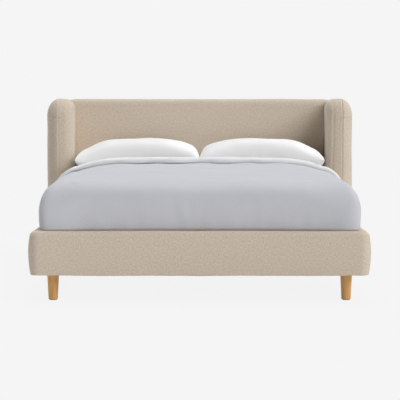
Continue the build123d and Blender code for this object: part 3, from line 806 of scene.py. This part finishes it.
def mattress_block():
    work = bmesh.new()
    xs, ys, ring = plan_places(100, 132)
    for z in (mattress_low.z, mattress_high.z):
        grid = [[(*on_rounded_plan(x, y, mattress_edge), z) for y in ys] for x in xs]
        add_patch(work, grid, [[(x, y) for y in ys] for x in xs])
    turns = spread(0, QUARTER, 7)
    low = [(mattress_edge * (1 - sin(t)), mattress_low.z + mattress_edge * (1 - cos(t))) for t in turns]
    side = [(0, z) for z in spread(mattress_low.z + mattress_edge, mattress_high.z - mattress_edge, 12)[1:-1]]
    high = [(inset, mattress_high.z - (z - mattress_low.z)) for inset, z in reversed(low)]
    rows = low + side + high
    along, around = running_length(ring), running_length(rows)
    add_patch(work, [plan_line(ring, *row) for row in rows], [[(u, v) for u in along] for v in around])
    return finished_mesh("mattress_ticking_cover", work, ticking)


mattress = mattress_block()

# %% [markdown]
# Geometry nodes are good at rules. The quilting is one: every point sinks along its normal by how near
# it lies to one of two families of slanting lines. A geometry tree says this in a few nodes, with the
# pitch and the depth as named inputs. The helper runs a tree on a start mesh and keeps the result.

# %% Trees for what follows a rule
def rule_tree(name, floats):
    """A geometry tree with named number inputs and a finish, and its group input node."""
    tree = bpy.data.node_groups.new(name, "GeometryNodeTree")
    tree.interface.new_socket("Geometry", in_out="INPUT", socket_type="NodeSocketGeometry")
    for label in floats:
        tree.interface.new_socket(label, in_out="INPUT", socket_type="NodeSocketFloat")
    tree.interface.new_socket("Finish", in_out="INPUT", socket_type="NodeSocketMaterial")
    tree.interface.new_socket("Geometry", in_out="OUTPUT", socket_type="NodeSocketGeometry")
    return tree, step(tree, "NodeGroupInput").outputs


def close_tree(tree, given, geometry):
    """Ends a tree with real geometry in its finish."""
    real = step(tree, "GeometryNodeRealizeInstances", {0: geometry}).outputs[0]
    coloured = step(tree, "GeometryNodeSetMaterial", {"Geometry": real, "Material": given["Finish"]})
    step(tree, "NodeGroupOutput", {0: coloured.outputs[0]})


def run_rule(piece, tree, **values):
    """Runs the tree on the piece with its named inputs, and leaves it as a plain mesh."""
    rule = piece.modifiers.new("rule", "NODES")
    rule.node_group = tree
    sockets = {item.name: item.identifier for item in tree.interface.items_tree if item.in_out == "INPUT"}
    for label, value in values.items():
        rule[sockets[label]] = value
    graph = bpy.context.evaluated_depsgraph_get()
    made = bpy.data.meshes.new_from_object(piece.evaluated_get(graph))
    piece.modifiers.clear()
    piece.data = made
    print(piece.name, len(made.polygons), "faces")
    return piece


def line_start(name, *lines):
    """An object of bare points joined into lines, from which a tree can start."""
    mesh = bpy.data.meshes.new(name)
    points, edges = [], []
    for line in lines:
        edges += [(len(points) + index, len(points) + index + 1) for index in range(len(line) - 1)]
        points += line
    mesh.from_pydata(points, edges, [])
    piece = bpy.data.objects.new(name, mesh)
    bpy.context.scene.collection.objects.link(piece)
    return piece


# %% Quilting
puff_softness = 0.45


def quilting_tree():
    tree, given = rule_tree("quilting", ["Pitch", "Depth"])
    place = step(tree, "ShaderNodeSeparateXYZ", {0: step(tree, "GeometryNodeInputPosition").outputs[0]})
    normal = step(tree, "GeometryNodeInputNormal").outputs[0]
    level = number(tree, "ABSOLUTE", step(tree, "ShaderNodeSeparateXYZ", {0: normal}).outputs[2])
    rate = number(tree, "DIVIDE", pi, given["Pitch"])
    puff = level
    for operation in ("ADD", "SUBTRACT"):
        slant = number(tree, operation, place.outputs[0], place.outputs[1])
        wave = number(tree, "ABSOLUTE", number(tree, "SINE", number(tree, "MULTIPLY", slant, rate)))
        puff = number(tree, "MULTIPLY", puff, number(tree, "POWER", wave, puff_softness))
    sunk = number(tree, "MULTIPLY", number(tree, "SUBTRACT", puff, level), given["Depth"])
    offset = step(tree, "ShaderNodeVectorMath", {0: normal, "Scale": sunk}, operation="SCALE").outputs[0]
    moved = step(tree, "GeometryNodeSetPosition", {"Geometry": given["Geometry"], "Offset": offset})
    close_tree(tree, given, moved.outputs[0])
    return tree


run_rule(mattress, quilting_tree(), Pitch=115 * MM, Depth=7 * MM, Finish=ticking)
hand_over(mattress, "ticking", "mattress", "mattress", fill=0.9)

# %% [markdown]
# A piped edge closes the mattress cover at the top and at the bottom. The piping follows the rounded
# plan, so it is a curve with a round profile, which a tree draws from the same plan as the block.

# %% Mattress piping
def piping_tree():
    tree, given = rule_tree("piping", ["Radius"])
    curve = step(tree, "GeometryNodeMeshToCurve", {0: given["Geometry"]})
    circle = step(tree, "GeometryNodeCurvePrimitiveCircle", {"Resolution": 8, "Radius": given["Radius"]})
    drawn = step(tree, "GeometryNodeCurveToMesh", {"Curve": curve.outputs[0], 1: circle.outputs[0]})
    close_tree(tree, given, drawn.outputs[0])
    return tree


piping_radius = 2.5 * MM
piping_inset = mattress_edge * (1 - sin(radians(45))) + piping_radius / 2
piping_ring = plan_places(60, 60)[2]
piping_heights = (mattress_low.z + piping_inset, mattress_high.z - piping_inset)
piping_lines = [plan_line(piping_ring, piping_inset, z) for z in piping_heights]
piping = line_start("mattress_piping", *piping_lines)
run_rule(piping, piping_tree(), Radius=piping_radius, Finish=white_thread)
for polygon in piping.data.polygons:
    polygon.use_smooth = True
hand_over(piping, "ticking", "mattress", fill=1.0)

# %% [markdown]
# The duvet lies over the mattress, hangs down both sides to the rails and over the foot end, and its
# head end is folded back, so that a band of its white underside shows. The cap is a padded edge again:
# hem, side and round shoulder are its section, and the top crowns towards its middle and its fold.

# %% Duvet: the cap
duvet_shoulder = 115 * MM
shoulder_drop_share, foot_drop_share = 0.6, 0.34
side_inset = 13 * MM
duvet_squareness = 5
hem_draw, foot_lean = 5 * MM, 18 * MM
foot_rise, fold_rise = 46 * MM, 52 * MM
foot_crown, fold_crown = 15 * MM, 43 * MM
foot_flatness, fold_flatness = 2, 6
band_width = 250 * MM
crown_run = 350 * MM
foot_reach_share = 1.6
under_fold = 30 * MM
filling_thickness, duvet_fill = 26 * MM, 0.6

duvet_low, duvet_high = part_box("duvet")
duvet_half = duvet_high.x - side_inset
hem_z = duvet_low.z - top_sink
fold_y = duvet_high.y
shoulder_z = mattress_high.z + foot_rise
band_y = fold_y - band_width
flat_half = duvet_half - duvet_shoulder


def shoulder_rows():
    """Depth and share of height, from the hem up the side and over the shoulder."""
    low_share = 1 - shoulder_drop_share
    rows = []
    for share in spread(0, low_share, 10):
        bow = sin(pi * share / (2 * low_share))
        rows.append((hem_draw * (1 - bow), share))
    for turn in spread(0, QUARTER, 22)[1:]:
        rows.append((duvet_shoulder * (1 - cos(turn)), low_share + shoulder_drop_share * sin(turn)))
    return rows


def along_share(y):
    """0 at the foot end and 1 where the folded band starts."""
    return min(1, max(0, (y - duvet_low.y) / (band_y - duvet_low.y)))


def duvet_top(x, y):
    """The height of the duvet's plain top at a place: its shoulder and its crown."""
    share = along_share(y)
    rise = foot_rise + share * (fold_rise - foot_rise)
    crown = foot_crown + share * (fold_crown - foot_crown)
    across = 1 - min(1, abs(x) / flat_half) ** (foot_flatness + share * (fold_flatness - foot_flatness))
    from_foot = min(1, max(0, (y - duvet_low.y - duvet_shoulder / 2) / crown_run))
    return mattress_high.z + rise + crown * across * sin(QUARTER * from_foot)


def duvet_place(a, b, share):
    """A point of the cap, from its place in plan and its share of the height there."""
    y = duvet_low.y + b
    low_share = 1 - shoulder_drop_share
    if share <= low_share:
        tight = share * (1 - foot_drop_share) / low_share
    else:
        tight = 1 - (1 - share) * foot_drop_share / shoulder_drop_share
    at_foot = smooth_share((duvet_shoulder * foot_reach_share - b) / duvet_shoulder)
    at_foot *= smooth_share((flat_half + duvet_shoulder / 2 - abs(a)) / (2 * duvet_shoulder))
    share += at_foot * (tight - share)
    y += at_foot * foot_lean * (1 - share)
    return (a, y, hem_z + share * (duvet_top(a, y) - hem_z))


# Soft creases: two ends, half width and rise. An end is a place across the bed and a run towards the
# head, which goes on below the foot shoulder as a height
creases = [
    ((0.02, -0.80), (0.16, -0.98), 15 * MM, 3.0 * MM), ((0.09, -0.82), (0.25, -1.00), 13 * MM, 3.5 * MM),
    ((0.17, -0.86), (0.32, -1.02), 18 * MM, 2.5 * MM), ((-0.68, -0.90), (-0.60, -1.04), 12 * MM, 3.5 * MM),
    ((-0.72, -0.84), (-0.66, -0.98), 14 * MM, 3.0 * MM), ((0.55, -0.85), (0.66, -1.00), 22 * MM, 2.0 * MM),
    ((-0.34, -0.45), (-0.08, -0.60), 35 * MM, 3.0 * MM), ((0.34, -0.20), (0.60, -0.35), 35 * MM, 3.0 * MM),
    ((-0.11, -1.12), (-0.06, -1.27), 22 * MM, 1.6 * MM), ((0.00, -1.14), (-0.03, -1.25), 18 * MM, 1.2 * MM),
    ((0.34, -1.13), (0.30, -1.26), 34 * MM, 1.4 * MM), ((-0.45, -1.13), (-0.41, -1.28), 30 * MM, 1.2 * MM),
]
# Bulges of the cap in front of the folded band: place along x, half width, and rise
fold_bulges = [
    (-0.44, 70 * MM, 4 * MM), (-0.235, 42 * MM, 5 * MM), (0.015, 70 * MM, 9 * MM), (0.25, 45 * MM, 5 * MM),
    (0.46, 60 * MM, 4 * MM),
]
bulges_before_fold, bulge_run = 50 * MM, 90 * MM
crease_overrun, crease_fade_share, crease_widths = 50 * MM, 0.38, 4
valley_depth_share, valley_place_share = 0.7, 1.6
duvet_slack = (0.30, 7 * MM), (0.11, 2.6 * MM), (0.045, 0.7 * MM)
drape_reach, drape = 60 * MM, (0.06, 3 * MM)
upper_side, foot_side, flat_top = 0.3, -0.3, 0.5


def crease_rise(u, v, crease):
    """The rise of one crease at a place: a soft ridge with a valley beside it, fading at its ends."""
    (u0, v0), (u1, v1), width, rise = crease
    du, dv = u1 - u0, v1 - v0
    length = hypot(du, dv)
    along = ((u - u0) * du + (v - v0) * dv) / length
    side = ((u - u0) * dv - (v - v0) * du) / length
    if not -crease_overrun < along < length + crease_overrun or abs(side) > crease_widths * width:
        return 0.0
    fade = bell((along - length / 2) / length, crease_fade_share)
    valley = valley_depth_share * bell(side - valley_place_share * width, width)
    return rise * fade * (bell(side, width) - valley)


def duvet_rise(place, normal):
    """Filling, wrinkles and creases of the duvet."""
    rise = slack(place, *duvet_slack)
    if normal.z > upper_side or normal.y < foot_side:
        run = place.y + place.z - shoulder_z
        rise += sum(crease_rise(place.x, run, crease) for crease in creases)
    if normal.z > flat_top:
        before_fold = bell(place.y - band_y + bulges_before_fold, bulge_run)
        rise += before_fold * sum(high * bell(place.x - x, width) for x, width, high in fold_bulges)
    return rise + slack((place.x, place.y, 0), drape) * bell(place.z - hem_z, drape_reach)


def make_duvet_cap():
    work = bmesh.new()
    front = spread(-flat_half, flat_half, 150)
    arm = spread(duvet_shoulder, fold_y - under_fold - duvet_low.y, 140)
    padded_edge(
        work, front, arm, duvet_shoulder, shoulder_rows(), duvet_place, sides=(-1,), closed=False,
        power=duvet_squareness,
    )
    return finished_mesh("duvet_dressed", work, duvet_grey)


duvet = make_duvet_cap()
relax(duvet, duvet_rise)
filling = duvet.modifiers.new("filling", "SOLIDIFY")
filling.thickness, filling.offset = filling_thickness, -1
hand_over(duvet, "duvet_cotton", "duvet", "duvet", fill=duvet_fill)

# %% [markdown]
# The folded band is the duvet's head end, turned over. It follows the same cross line as the cap, from
# one hem over the top to the other, and has its own section: a round front edge, a flat band and a full
# round fold at the back. Its front edge wanders a little, as a folded edge does.

# %% Duvet: the folded band
band_thickness = 31 * MM
side_thinning, thinning_from, thinning_run = 0.25, 0.55, 0.2
full_width_share = 0.6
fold_start = 40 * MM
band_samples, band_cloth = 220, 2.2
fine_wave, fine_rate, fine_start, fine_reach = 9 * MM, 23, 0.4, 0.42
broad_wave, broad_rate, broad_start = 6 * MM, 9, 1.1
edge_slack = (0.12, 7 * MM)
band_slack = (0.16, 4 * MM), (0.05, 1.2 * MM)


def cross_line(y):
    """Points over the duvet from hem to hem at one place along the bed, with outward directions."""
    rows = [(duvet_half - depth, share) for depth, share in shoulder_rows()]
    right = [(x, hem_z + share * (duvet_top(x, y) - hem_z)) for x, share in rows]
    middle = [(x, duvet_top(x, y)) for x in spread(flat_half, -flat_half, 90)[1:-1]]
    return right + middle + [(-x, z) for x, z in reversed(right)]


def even_line(line, count):
    """The same line with evenly spread points."""
    lengths = running_length(line)
    spaced, index = [], 0
    for target in spread(0, lengths[-1] * (1 - 1e-9), count):
        while lengths[index + 1] < target:
            index += 1
        share = (target - lengths[index]) / (lengths[index + 1] - lengths[index])
        spaced.append([a + (b - a) * share for a, b in zip(line[index], line[index + 1])])
    return spaced


def outward(line, index):
    """The direction away from the mattress at a point of the line."""
    before, after = line[max(0, index - 1)], line[min(len(line) - 1, index + 1)]
    dx, dz = after[0] - before[0], after[1] - before[1]
    length = hypot(dx, dz)
    return dz / length, -dx / length


def edge_wander(x):
    """How far the band's front edge lies behind its straight line."""
    fine = fine_wave * cos(x * fine_rate + fine_start) * bell(x, fine_reach)
    broad = broad_wave * sin(x * broad_rate + broad_start)
    return fine + broad + slack((x, 3, 0), edge_slack)


def band_rows():
    """Distance behind the front edge and rise, from under the front edge round to the fold's inside."""
    edge = band_thickness / 2
    rows = [(edge * (1 - sin(t)), edge * (1 - cos(t))) for t in spread(0, QUARTER, 5)]
    rows += [(edge * (1 - cos(t)), edge * (1 + sin(t))) for t in spread(0, QUARTER, 5)[1:]]
    rows += [(distance, band_thickness) for distance in spread(edge, band_width - fold_start, 18)[1:]]
    full = (band_thickness + fold_rise) / 2
    axis = band_width - full
    rows += [(axis + full * sin(t), band_thickness - full * (1 - cos(t))) for t in spread(0, pi, 18)[1:]]
    return rows


def make_band():
    work = bmesh.new()
    rows = band_rows()
    points = []
    for distance, rise in rows:
        y = band_y + distance
        line = even_line(cross_line(min(y, fold_y)), band_samples)
        fade = max(0, 1 - distance / (full_width_share * band_width))
        row = []
        for index, (x, z) in enumerate(line):
            ox, oz = outward(line, index)
            out = rise * (1 - side_thinning * smooth_share((abs(x) - thinning_from) / thinning_run))
            row.append((x + ox * out, y + edge_wander(x) * fade, max(hem_z, z + oz * out)))
        points.append(row)
    across = spread(0, band_cloth, band_samples)
    add_patch(work, points, [[(u, v) for u in across] for v in running_length(rows)])
    return finished_mesh("duvet_folded_band", work, duvet_white)


band = make_band()
relax(band, lambda place, normal: slack(place, *band_slack))
hand_over(band, "duvet_cotton", "duvet", fill=duvet_fill)

# %% [markdown]
# A pillow is a sewn cover blown up by its filling, and that is how it is made: two sheets joined round
# their edge, a pressure inside, and Blender's cloth finds the full middle, the drawn-in sides and the
# small wrinkles near the corners. The result is then brought to the size of the CAD pillow, with the
# outline that a pillow has when it leans on a wing at one end and on its neighbour at the other.

# %% Pillow cover
cover_length, cover_width = 0.86, 0.62
cover_cells = (76, 54)
first_rise = 30 * MM
filling_pressure, filling_frames, softening_rounds = 0.9, 26, 8


def sewn_cover(name):
    """Two flat sheets with a common edge, held apart a little in the middle."""
    work = bmesh.new()
    across, along = spread(-1, 1, cover_cells[0]), spread(-1, 1, cover_cells[1])
    for side in (-1, 1):
        grid, places = [], []
        for u in across:
            apart = [side * first_rise * (1 - u ** 4) * (1 - v ** 4) for v in along]
            grid.append([(u * cover_length / 2, v * cover_width / 2, z) for v, z in zip(along, apart)])
            places.append([(u * cover_length / 2, v * cover_width / 2 + side) for v in along])
        add_patch(work, grid, places)
    return finished_mesh(name, work, pillow_white)


def blow_up(piece, pressure, frames):
    """Fills the cover: cloth under pressure, without weight, for some frames."""
    cloth = piece.modifiers.new("filling", "CLOTH")
    settings = cloth.settings
    settings.quality = 6
    settings.mass = 0.25
    settings.tension_stiffness = settings.compression_stiffness = 0.7
    settings.shear_stiffness = 0.35
    settings.bending_stiffness = 0.3
    settings.use_pressure = True
    settings.uniform_pressure_force = pressure
    settings.effector_weights.gravity = 0
    cloth.collision_settings.use_collision = False
    scene = bpy.context.scene
    for index in range(1, frames + 1):
        scene.frame_set(index)
    graph = bpy.context.evaluated_depsgraph_get()
    filled = bpy.data.meshes.new_from_object(piece.evaluated_get(graph))
    piece.modifiers.clear()
    piece.data = filled
    scene.frame_set(1)


def soften(piece, rounds):
    """Evens out the sharper wrinkles, as a down filling does."""
    work = bmesh.new()
    work.from_mesh(piece.data)
    every_way = {f"use_axis_{axis}": True for axis in "xyz"}
    for index in range(rounds):
        bmesh.ops.smooth_vert(work, verts=work.verts, factor=0.5, **every_way)
    work.to_mesh(piece.data)
    work.free()


# %% Pillow shape
# Share of the way from the outer end to the inner end, and share of the full height there
pillow_top = [
    (0, 0.47), (0.004, 0.55), (0.017, 0.61), (0.046, 0.675), (0.082, 0.74), (0.129, 0.828), (0.176, 0.904),
    (0.217, 0.95), (0.263, 0.98), (0.333, 1.0), (0.52, 1.02), (0.693, 1.02), (0.78, 0.985), (0.883, 0.905),
    (0.939, 0.815), (0.976, 0.7), (0.994, 0.57), (1.0, 0.5),
]
pillow_seam = [(0, 0.45), (0.1, 0.42), (0.3, 0.36), (0.8, 0.36), (1, 0.5)]
pillow_base = [
    (0, 0.47), (0.004, 0.39), (0.017, 0.34), (0.03, 0.3), (0.05, 0.25), (0.12, 0.13), (0.24, 0), (0.85, 0),
    (0.96, 0.15), (0.985, 0.28), (0.996, 0.42), (1, 0.5),
]
outline_bins = 60
corner_reach = 0.03
outer_draw = 22 * MM
end_pull = 0.85
nose_reach, nose_power = 0.06, 2.3
least_full_share = 0.06
base_fullness = 1.4
pillow_slack = (0.14, 3.5 * MM), (0.05, 1.0 * MM)


def between(line, share):
    """The value of a line of shares and values at one share."""
    for (s0, v0), (s1, v1) in zip(line, line[1:]):
        if share <= s1:
            return v0 + (v1 - v0) * (share - s0) / (s1 - s0)
    return line[-1][1]


def rounded(line, share):
    """The same value with the line's corners rounded."""
    reach = min(corner_reach, share / 2, (1 - share) / 2)
    return sum(between(line, share + reach * step_share) for step_share in (-1, -0.5, 0, 0.5, 1)) / 5


def shares_of(values):
    """Each value as a share of the way from the least to the greatest."""
    low, high = min(values), max(values)
    return [(value - low) / (high - low) for value in values]


def outline(shares, values, reach, narrowing):
    """The greatest value at even shares, evened out over a reach that may narrow towards the ends."""
    greatest = [0.0] * (outline_bins + 1)
    for share, value in zip(shares, values):
        index = round(share * outline_bins)
        greatest[index] = max(greatest[index], value)
    line = []
    for index in range(outline_bins + 1):
        here = min(reach, index, outline_bins - index) if narrowing else reach
        near = greatest[max(0, index - here):index + here + 1]
        line.append((index / outline_bins, sum(near) / len(near)))
    return line


def straighten_ends(vertices):
    """Lets out part of the ends' drawn-in middle, because the filling is firm there."""
    shares = shares_of([vertex.co.y for vertex in vertices])
    reaches = [abs(vertex.co.x) for vertex in vertices]
    longest = max(reaches)
    line = outline(shares, reaches, 2, narrowing=False)
    for vertex, share in zip(vertices, shares):
        vertex.co.x *= (longest / between(line, share)) ** end_pull


def blunt(share):
    """The share moved towards the nearer end, so that the ends become round noses."""
    if share < nose_reach:
        return nose_reach * (share / nose_reach) ** nose_power
    if share > 1 - nose_reach:
        return 1 - nose_reach * ((1 - share) / nose_reach) ** nose_power
    return share


def fit_pillow(piece, low, high, outer):
    """Brings a filled cover to its box and to the lines of its top, its seam and its base."""
    vertices = piece.data.vertices
    straighten_ends(vertices)
    shares = shares_of([vertex.co.x for vertex in vertices])
    depth_shares = shares_of([vertex.co.y for vertex in vertices])
    full_line = outline(shares, [vertex.co.z for vertex in vertices], 3, narrowing=True)
    least = least_full_share * max(height for share, height in full_line)
    if outer < 0:
        low = low + Vector((outer_draw, 0, 0))
    else:
        high = high - Vector((outer_draw, 0, 0))
    for vertex, share, depth_share in zip(vertices, shares, depth_shares):
        full = vertex.co.z / max(between(full_line, share), least)
        share = blunt(share)
        seam = rounded(pillow_seam, share)
        if full > 0:
            height = seam + full * (rounded(pillow_top, share) - seam)
        else:
            height = seam + max(-1, base_fullness * full) * (seam - between(pillow_base, share))
        x_share = share if outer < 0 else 1 - share
        vertex.co.x = low.x + x_share * (high.x - low.x)
        vertex.co.y = low.y + depth_share * (high.y - low.y)
        vertex.co.z = low.z + height * (high.z - low.z)
    piece.data.update()


def make_pillow(label, outer):
    """One pillow, with its outer end towards its own wing."""
    piece = sewn_cover(f"pillow_dressed_{label}")
    blow_up(piece, filling_pressure, filling_frames)
    soften(piece, softening_rounds)
    low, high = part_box(f"pillow_{label}")
    fit_pillow(piece, low, high, outer)
    if outer > 0:
        piece.data.flip_normals()
    relax(piece, lambda place, normal: slack(place, *pillow_slack))
    smooth = piece.modifiers.new("round", "SUBSURF")
    smooth.levels = smooth.render_levels = 1
    hand_over(piece, "pillow_cotton", f"pillow_{label}", f"pillow_{label}", fill=0.75)


for label, outer in both_sides:
    make_pillow(label, outer)

# %% [markdown]
# Stitches, staples and the pads under the legs repeat one small shape, so trees make them. The first
# tree turns a line into a curve, takes even points on it and lays one small shape at each, along the
# curve's own direction: a bead of thread for a stitch, and a bar of wire for a staple.

# %% Stitches
def row_tree(name, shape, **settings):
    """A tree that lays one shape of unit size at even places along a line."""
    tree, given = rule_tree(name, ["Pitch", "Length", "Thickness"])
    curve = step(tree, "GeometryNodeMeshToCurve", {0: given["Geometry"]}).outputs[0]
    even = step(tree, "GeometryNodeResampleCurve", {"Curve": curve, "Length": given["Pitch"]}, mode="LENGTH")
    tangent = step(tree, "GeometryNodeInputTangent").outputs[0]
    sizes = {0: given["Length"], 1: given["Thickness"], 2: given["Thickness"]}
    laid = step(tree, "GeometryNodeInstanceOnPoints", {
        "Points": even.outputs[0],
        "Instance": step(tree, shape, settings).outputs[0],
        "Rotation": step(tree, "FunctionNodeAlignRotationToVector", {"Vector": tangent}, axis="X").outputs[0],
        "Scale": step(tree, "ShaderNodeCombineXYZ", sizes).outputs[0],
    })
    close_tree(tree, given, laid.outputs[0])
    return tree


stitch_from_seam, stitch_rise = 6 * MM, 0.2 * MM


def wing_stitch_line(side):
    """A line of topstitching on the outer band, beside the wing's long seam."""
    stitch_x = seam_x[side] + stitch_from_seam
    turn = (stitch_x - crest_x) / outer_round
    depth, x = wing_edge * (1 - sqrt(1 - turn ** 2)), side * stitch_x
    out = seam_rise(stitch_from_seam) + stitch_rise
    axis_y, axis_z = wing_low.y + wing_edge, wing_high.z - wing_edge
    line = [(x, wing_low.y + depth - out, z) for z in spread(foot_high.z, axis_z, 60)]
    reach = wing_edge - depth + out
    line += [(x, axis_y - reach * cos(t), axis_z + reach * sin(t)) for t in spread(0, QUARTER, 20)[1:]]
    return line + [(x, y, wing_high.z - depth + out) for y in spread(axis_y, wing_high.y, 20)[1:]]


stitches = line_start("wing_topstitching", wing_stitch_line(-1), wing_stitch_line(1))
bead_tree = row_tree("stitches", "GeometryNodeMeshUVSphere", Segments=6, Rings=4, Radius=0.5)
run_rule(stitches, bead_tree, Pitch=7 * MM, Length=5 * MM, Thickness=0.9 * MM, Finish=thread)
hand_over(stitches, "beige_upholstery", "bed_frame")

# %% [markdown]
# Each leg stands on a felt pad. The pads' places are read from the legs' own boxes, one point for each,
# and the tree sets a low round disc on every point.

# %% Felt pads
pad_diameter = 38 * MM


def pad_tree():
    tree, given = rule_tree("pads", ["Diameter", "Thickness"])
    fineness = {"Vertices": 40, "Side Segments": 2, "Fill Segments": 3}
    sizes = {"Radius": number(tree, "MULTIPLY", given["Diameter"], 0.5), "Depth": given["Thickness"]}
    disc = step(tree, "GeometryNodeMeshCylinder", {**fineness, **sizes}).outputs[0]
    placed = step(tree, "GeometryNodeInstanceOnPoints", {"Points": given["Geometry"], "Instance": disc})
    close_tree(tree, given, placed.outputs[0])
    return tree


leg_names = ["leg_centre", "leg_front_left", "leg_front_right", "leg_rear_left", "leg_rear_right"]
pad_low, pad_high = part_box("leg_pads")
pad_points = []
for name in leg_names:
    low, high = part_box(name)
    middle = (low + high) / 2
    pad_points.append([(middle.x, middle.y, (pad_low.z + pad_high.z) / 2)])
pads = line_start("felt_pads", *pad_points)
run_rule(pads, pad_tree(), Diameter=pad_diameter, Thickness=pad_high.z - pad_low.z, Finish=felt)
hand_over(pads, "felt", "bed_frame", "leg_pads")
print("pads at", pad_points)

# %% [markdown]
# Staples hold the back cloth all round its edge. They use the same tree as the stitches, with a cube in
# place of the bead.

# %% Staples of the back cloth
staple_inset, staple_rise = 9 * MM, 0.5 * MM
staple_y = cloth_high.y + lining_proud + staple_rise
xs = (cloth_low.x + staple_inset, cloth_high.x - staple_inset)
zs = (cloth_low.z + staple_inset, cloth_high.z - staple_inset)
staple_path = [(xs[0], staple_y, zs[0]), (xs[1], staple_y, zs[0]), (xs[1], staple_y, zs[1])]
staple_path += [(xs[0], staple_y, zs[1]), (xs[0], staple_y, zs[0])]
staples = line_start("back_cloth_staples", staple_path)
wire_tree = row_tree("staples", "GeometryNodeMeshCube")
run_rule(staples, wire_tree, Pitch=38 * MM, Length=11 * MM, Thickness=0.9 * MM, Finish=zinc_steel)
hand_over(staples, "zinc_steel", "bed_frame")

# %% [markdown]
# The studio is plain: a pale floor and broad soft lamps far away. The strongest stands in front on the
# right and leaves the corner beside the right wing darker. A second one hangs high over the headboard and
# brightens what lies flat. Two weak ones lift the right side and the left back.
# The background is white only to the camera and in reflections, so it doesn't light the bed, and the
# floor keeps the bed's shadow near it.

# %% Floor and world
backdrop_level, ambient_level, ambient_tint = 0.913, 0.02, (1, 0.99, 0.975, 1)
floor_reach, floor_white = 40, 0.9
shadow_reach, shadow_end = 1.6, 3.6
near_glow = 0.965


def white_rays(tree):
    """1 for what the camera sees directly, in gloss or through glass, and otherwise 0."""
    path = step(tree, "ShaderNodeLightPath")
    seen = number(tree, "MAXIMUM", path.outputs["Is Camera Ray"], path.outputs["Is Glossy Ray"])
    return number(tree, "MAXIMUM", seen, path.outputs["Is Transmission Ray"])


def make_floor():
    floor_mesh = bpy.data.meshes.new("floor")
    corners = [(floor_reach * x, floor_reach * y, 0) for x, y in ((-1, -1), (1, -1), (1, 1), (-1, 1))]
    floor_mesh.from_pydata(corners, [], [(0, 1, 2, 3)])
    floor = bpy.data.objects.new("floor", floor_mesh)
    bpy.context.scene.collection.objects.link(floor)
    finish = bpy.data.materials.new("pale_floor")
    finish.use_nodes = True
    tree = finish.node_tree
    tree.nodes.clear()
    place = step(tree, "ShaderNodeTexCoord").outputs["Object"]
    distance = step(tree, "ShaderNodeVectorMath", {0: place}, operation="LENGTH").outputs["Value"]
    far = sharpen(tree, distance, shadow_reach, shadow_end)
    matt = step(tree, "ShaderNodeBsdfDiffuse", {"Color": (floor_white,) * 3 + (1,)}).outputs[0]
    glow = step(tree, "ShaderNodeEmission", {"Color": (backdrop_level,) * 3 + (1,)}).outputs[0]
    near = step(tree, "ShaderNodeMapRange", {0: far, 3: near_glow, 4: 1}).outputs[0]
    share = number(tree, "MULTIPLY", near, white_rays(tree))
    surface = step(tree, "ShaderNodeMixShader", {0: share, 1: matt, 2: glow}).outputs[0]
    step(tree, "ShaderNodeOutputMaterial", {0: surface})
    floor_mesh.materials.append(finish)
    return floor


make_floor()

world = bpy.data.worlds.new("studio")
bpy.context.scene.world = world
world.use_nodes = True
world_tree = world.node_tree
world_tree.nodes.clear()
ambient = step(world_tree, "ShaderNodeBackground", {0: ambient_tint, 1: ambient_level}).outputs[0]
white = step(world_tree, "ShaderNodeBackground", {0: (backdrop_level,) * 3 + (1,), 1: 1}).outputs[0]
both = step(world_tree, "ShaderNodeMixShader", {0: white_rays(world_tree), 1: ambient, 2: white}).outputs[0]
step(world_tree, "ShaderNodeOutputWorld", {0: both})

# %% Lamps
def soft_light(name, bearing, elevation, strength, spread_angle):
    """A broad far lamp. Its bearing is in degrees from the camera's side towards the right."""
    away, up = radians(bearing), radians(elevation)
    towards_lamp = Vector((sin(away) * cos(up), -cos(away) * cos(up), sin(up)))
    lamp = bpy.data.objects.new(name, bpy.data.lights.new(name, "SUN"))
    lamp.data.energy = strength
    lamp.data.angle = radians(spread_angle)
    lamp.rotation_euler = (-towards_lamp).to_track_quat("-Z", "Y").to_euler()
    bpy.context.scene.collection.objects.link(lamp)


soft_light("window", 80, 30, 0.15, 25)
soft_light("front_right", 46, 32, 1.84, 40)
soft_light("above_behind", 172, 72, 1.74, 45)
soft_light("left_behind", -115, 15, 0.7, 30)
bpy.context.scene.view_settings.view_transform = "Standard"
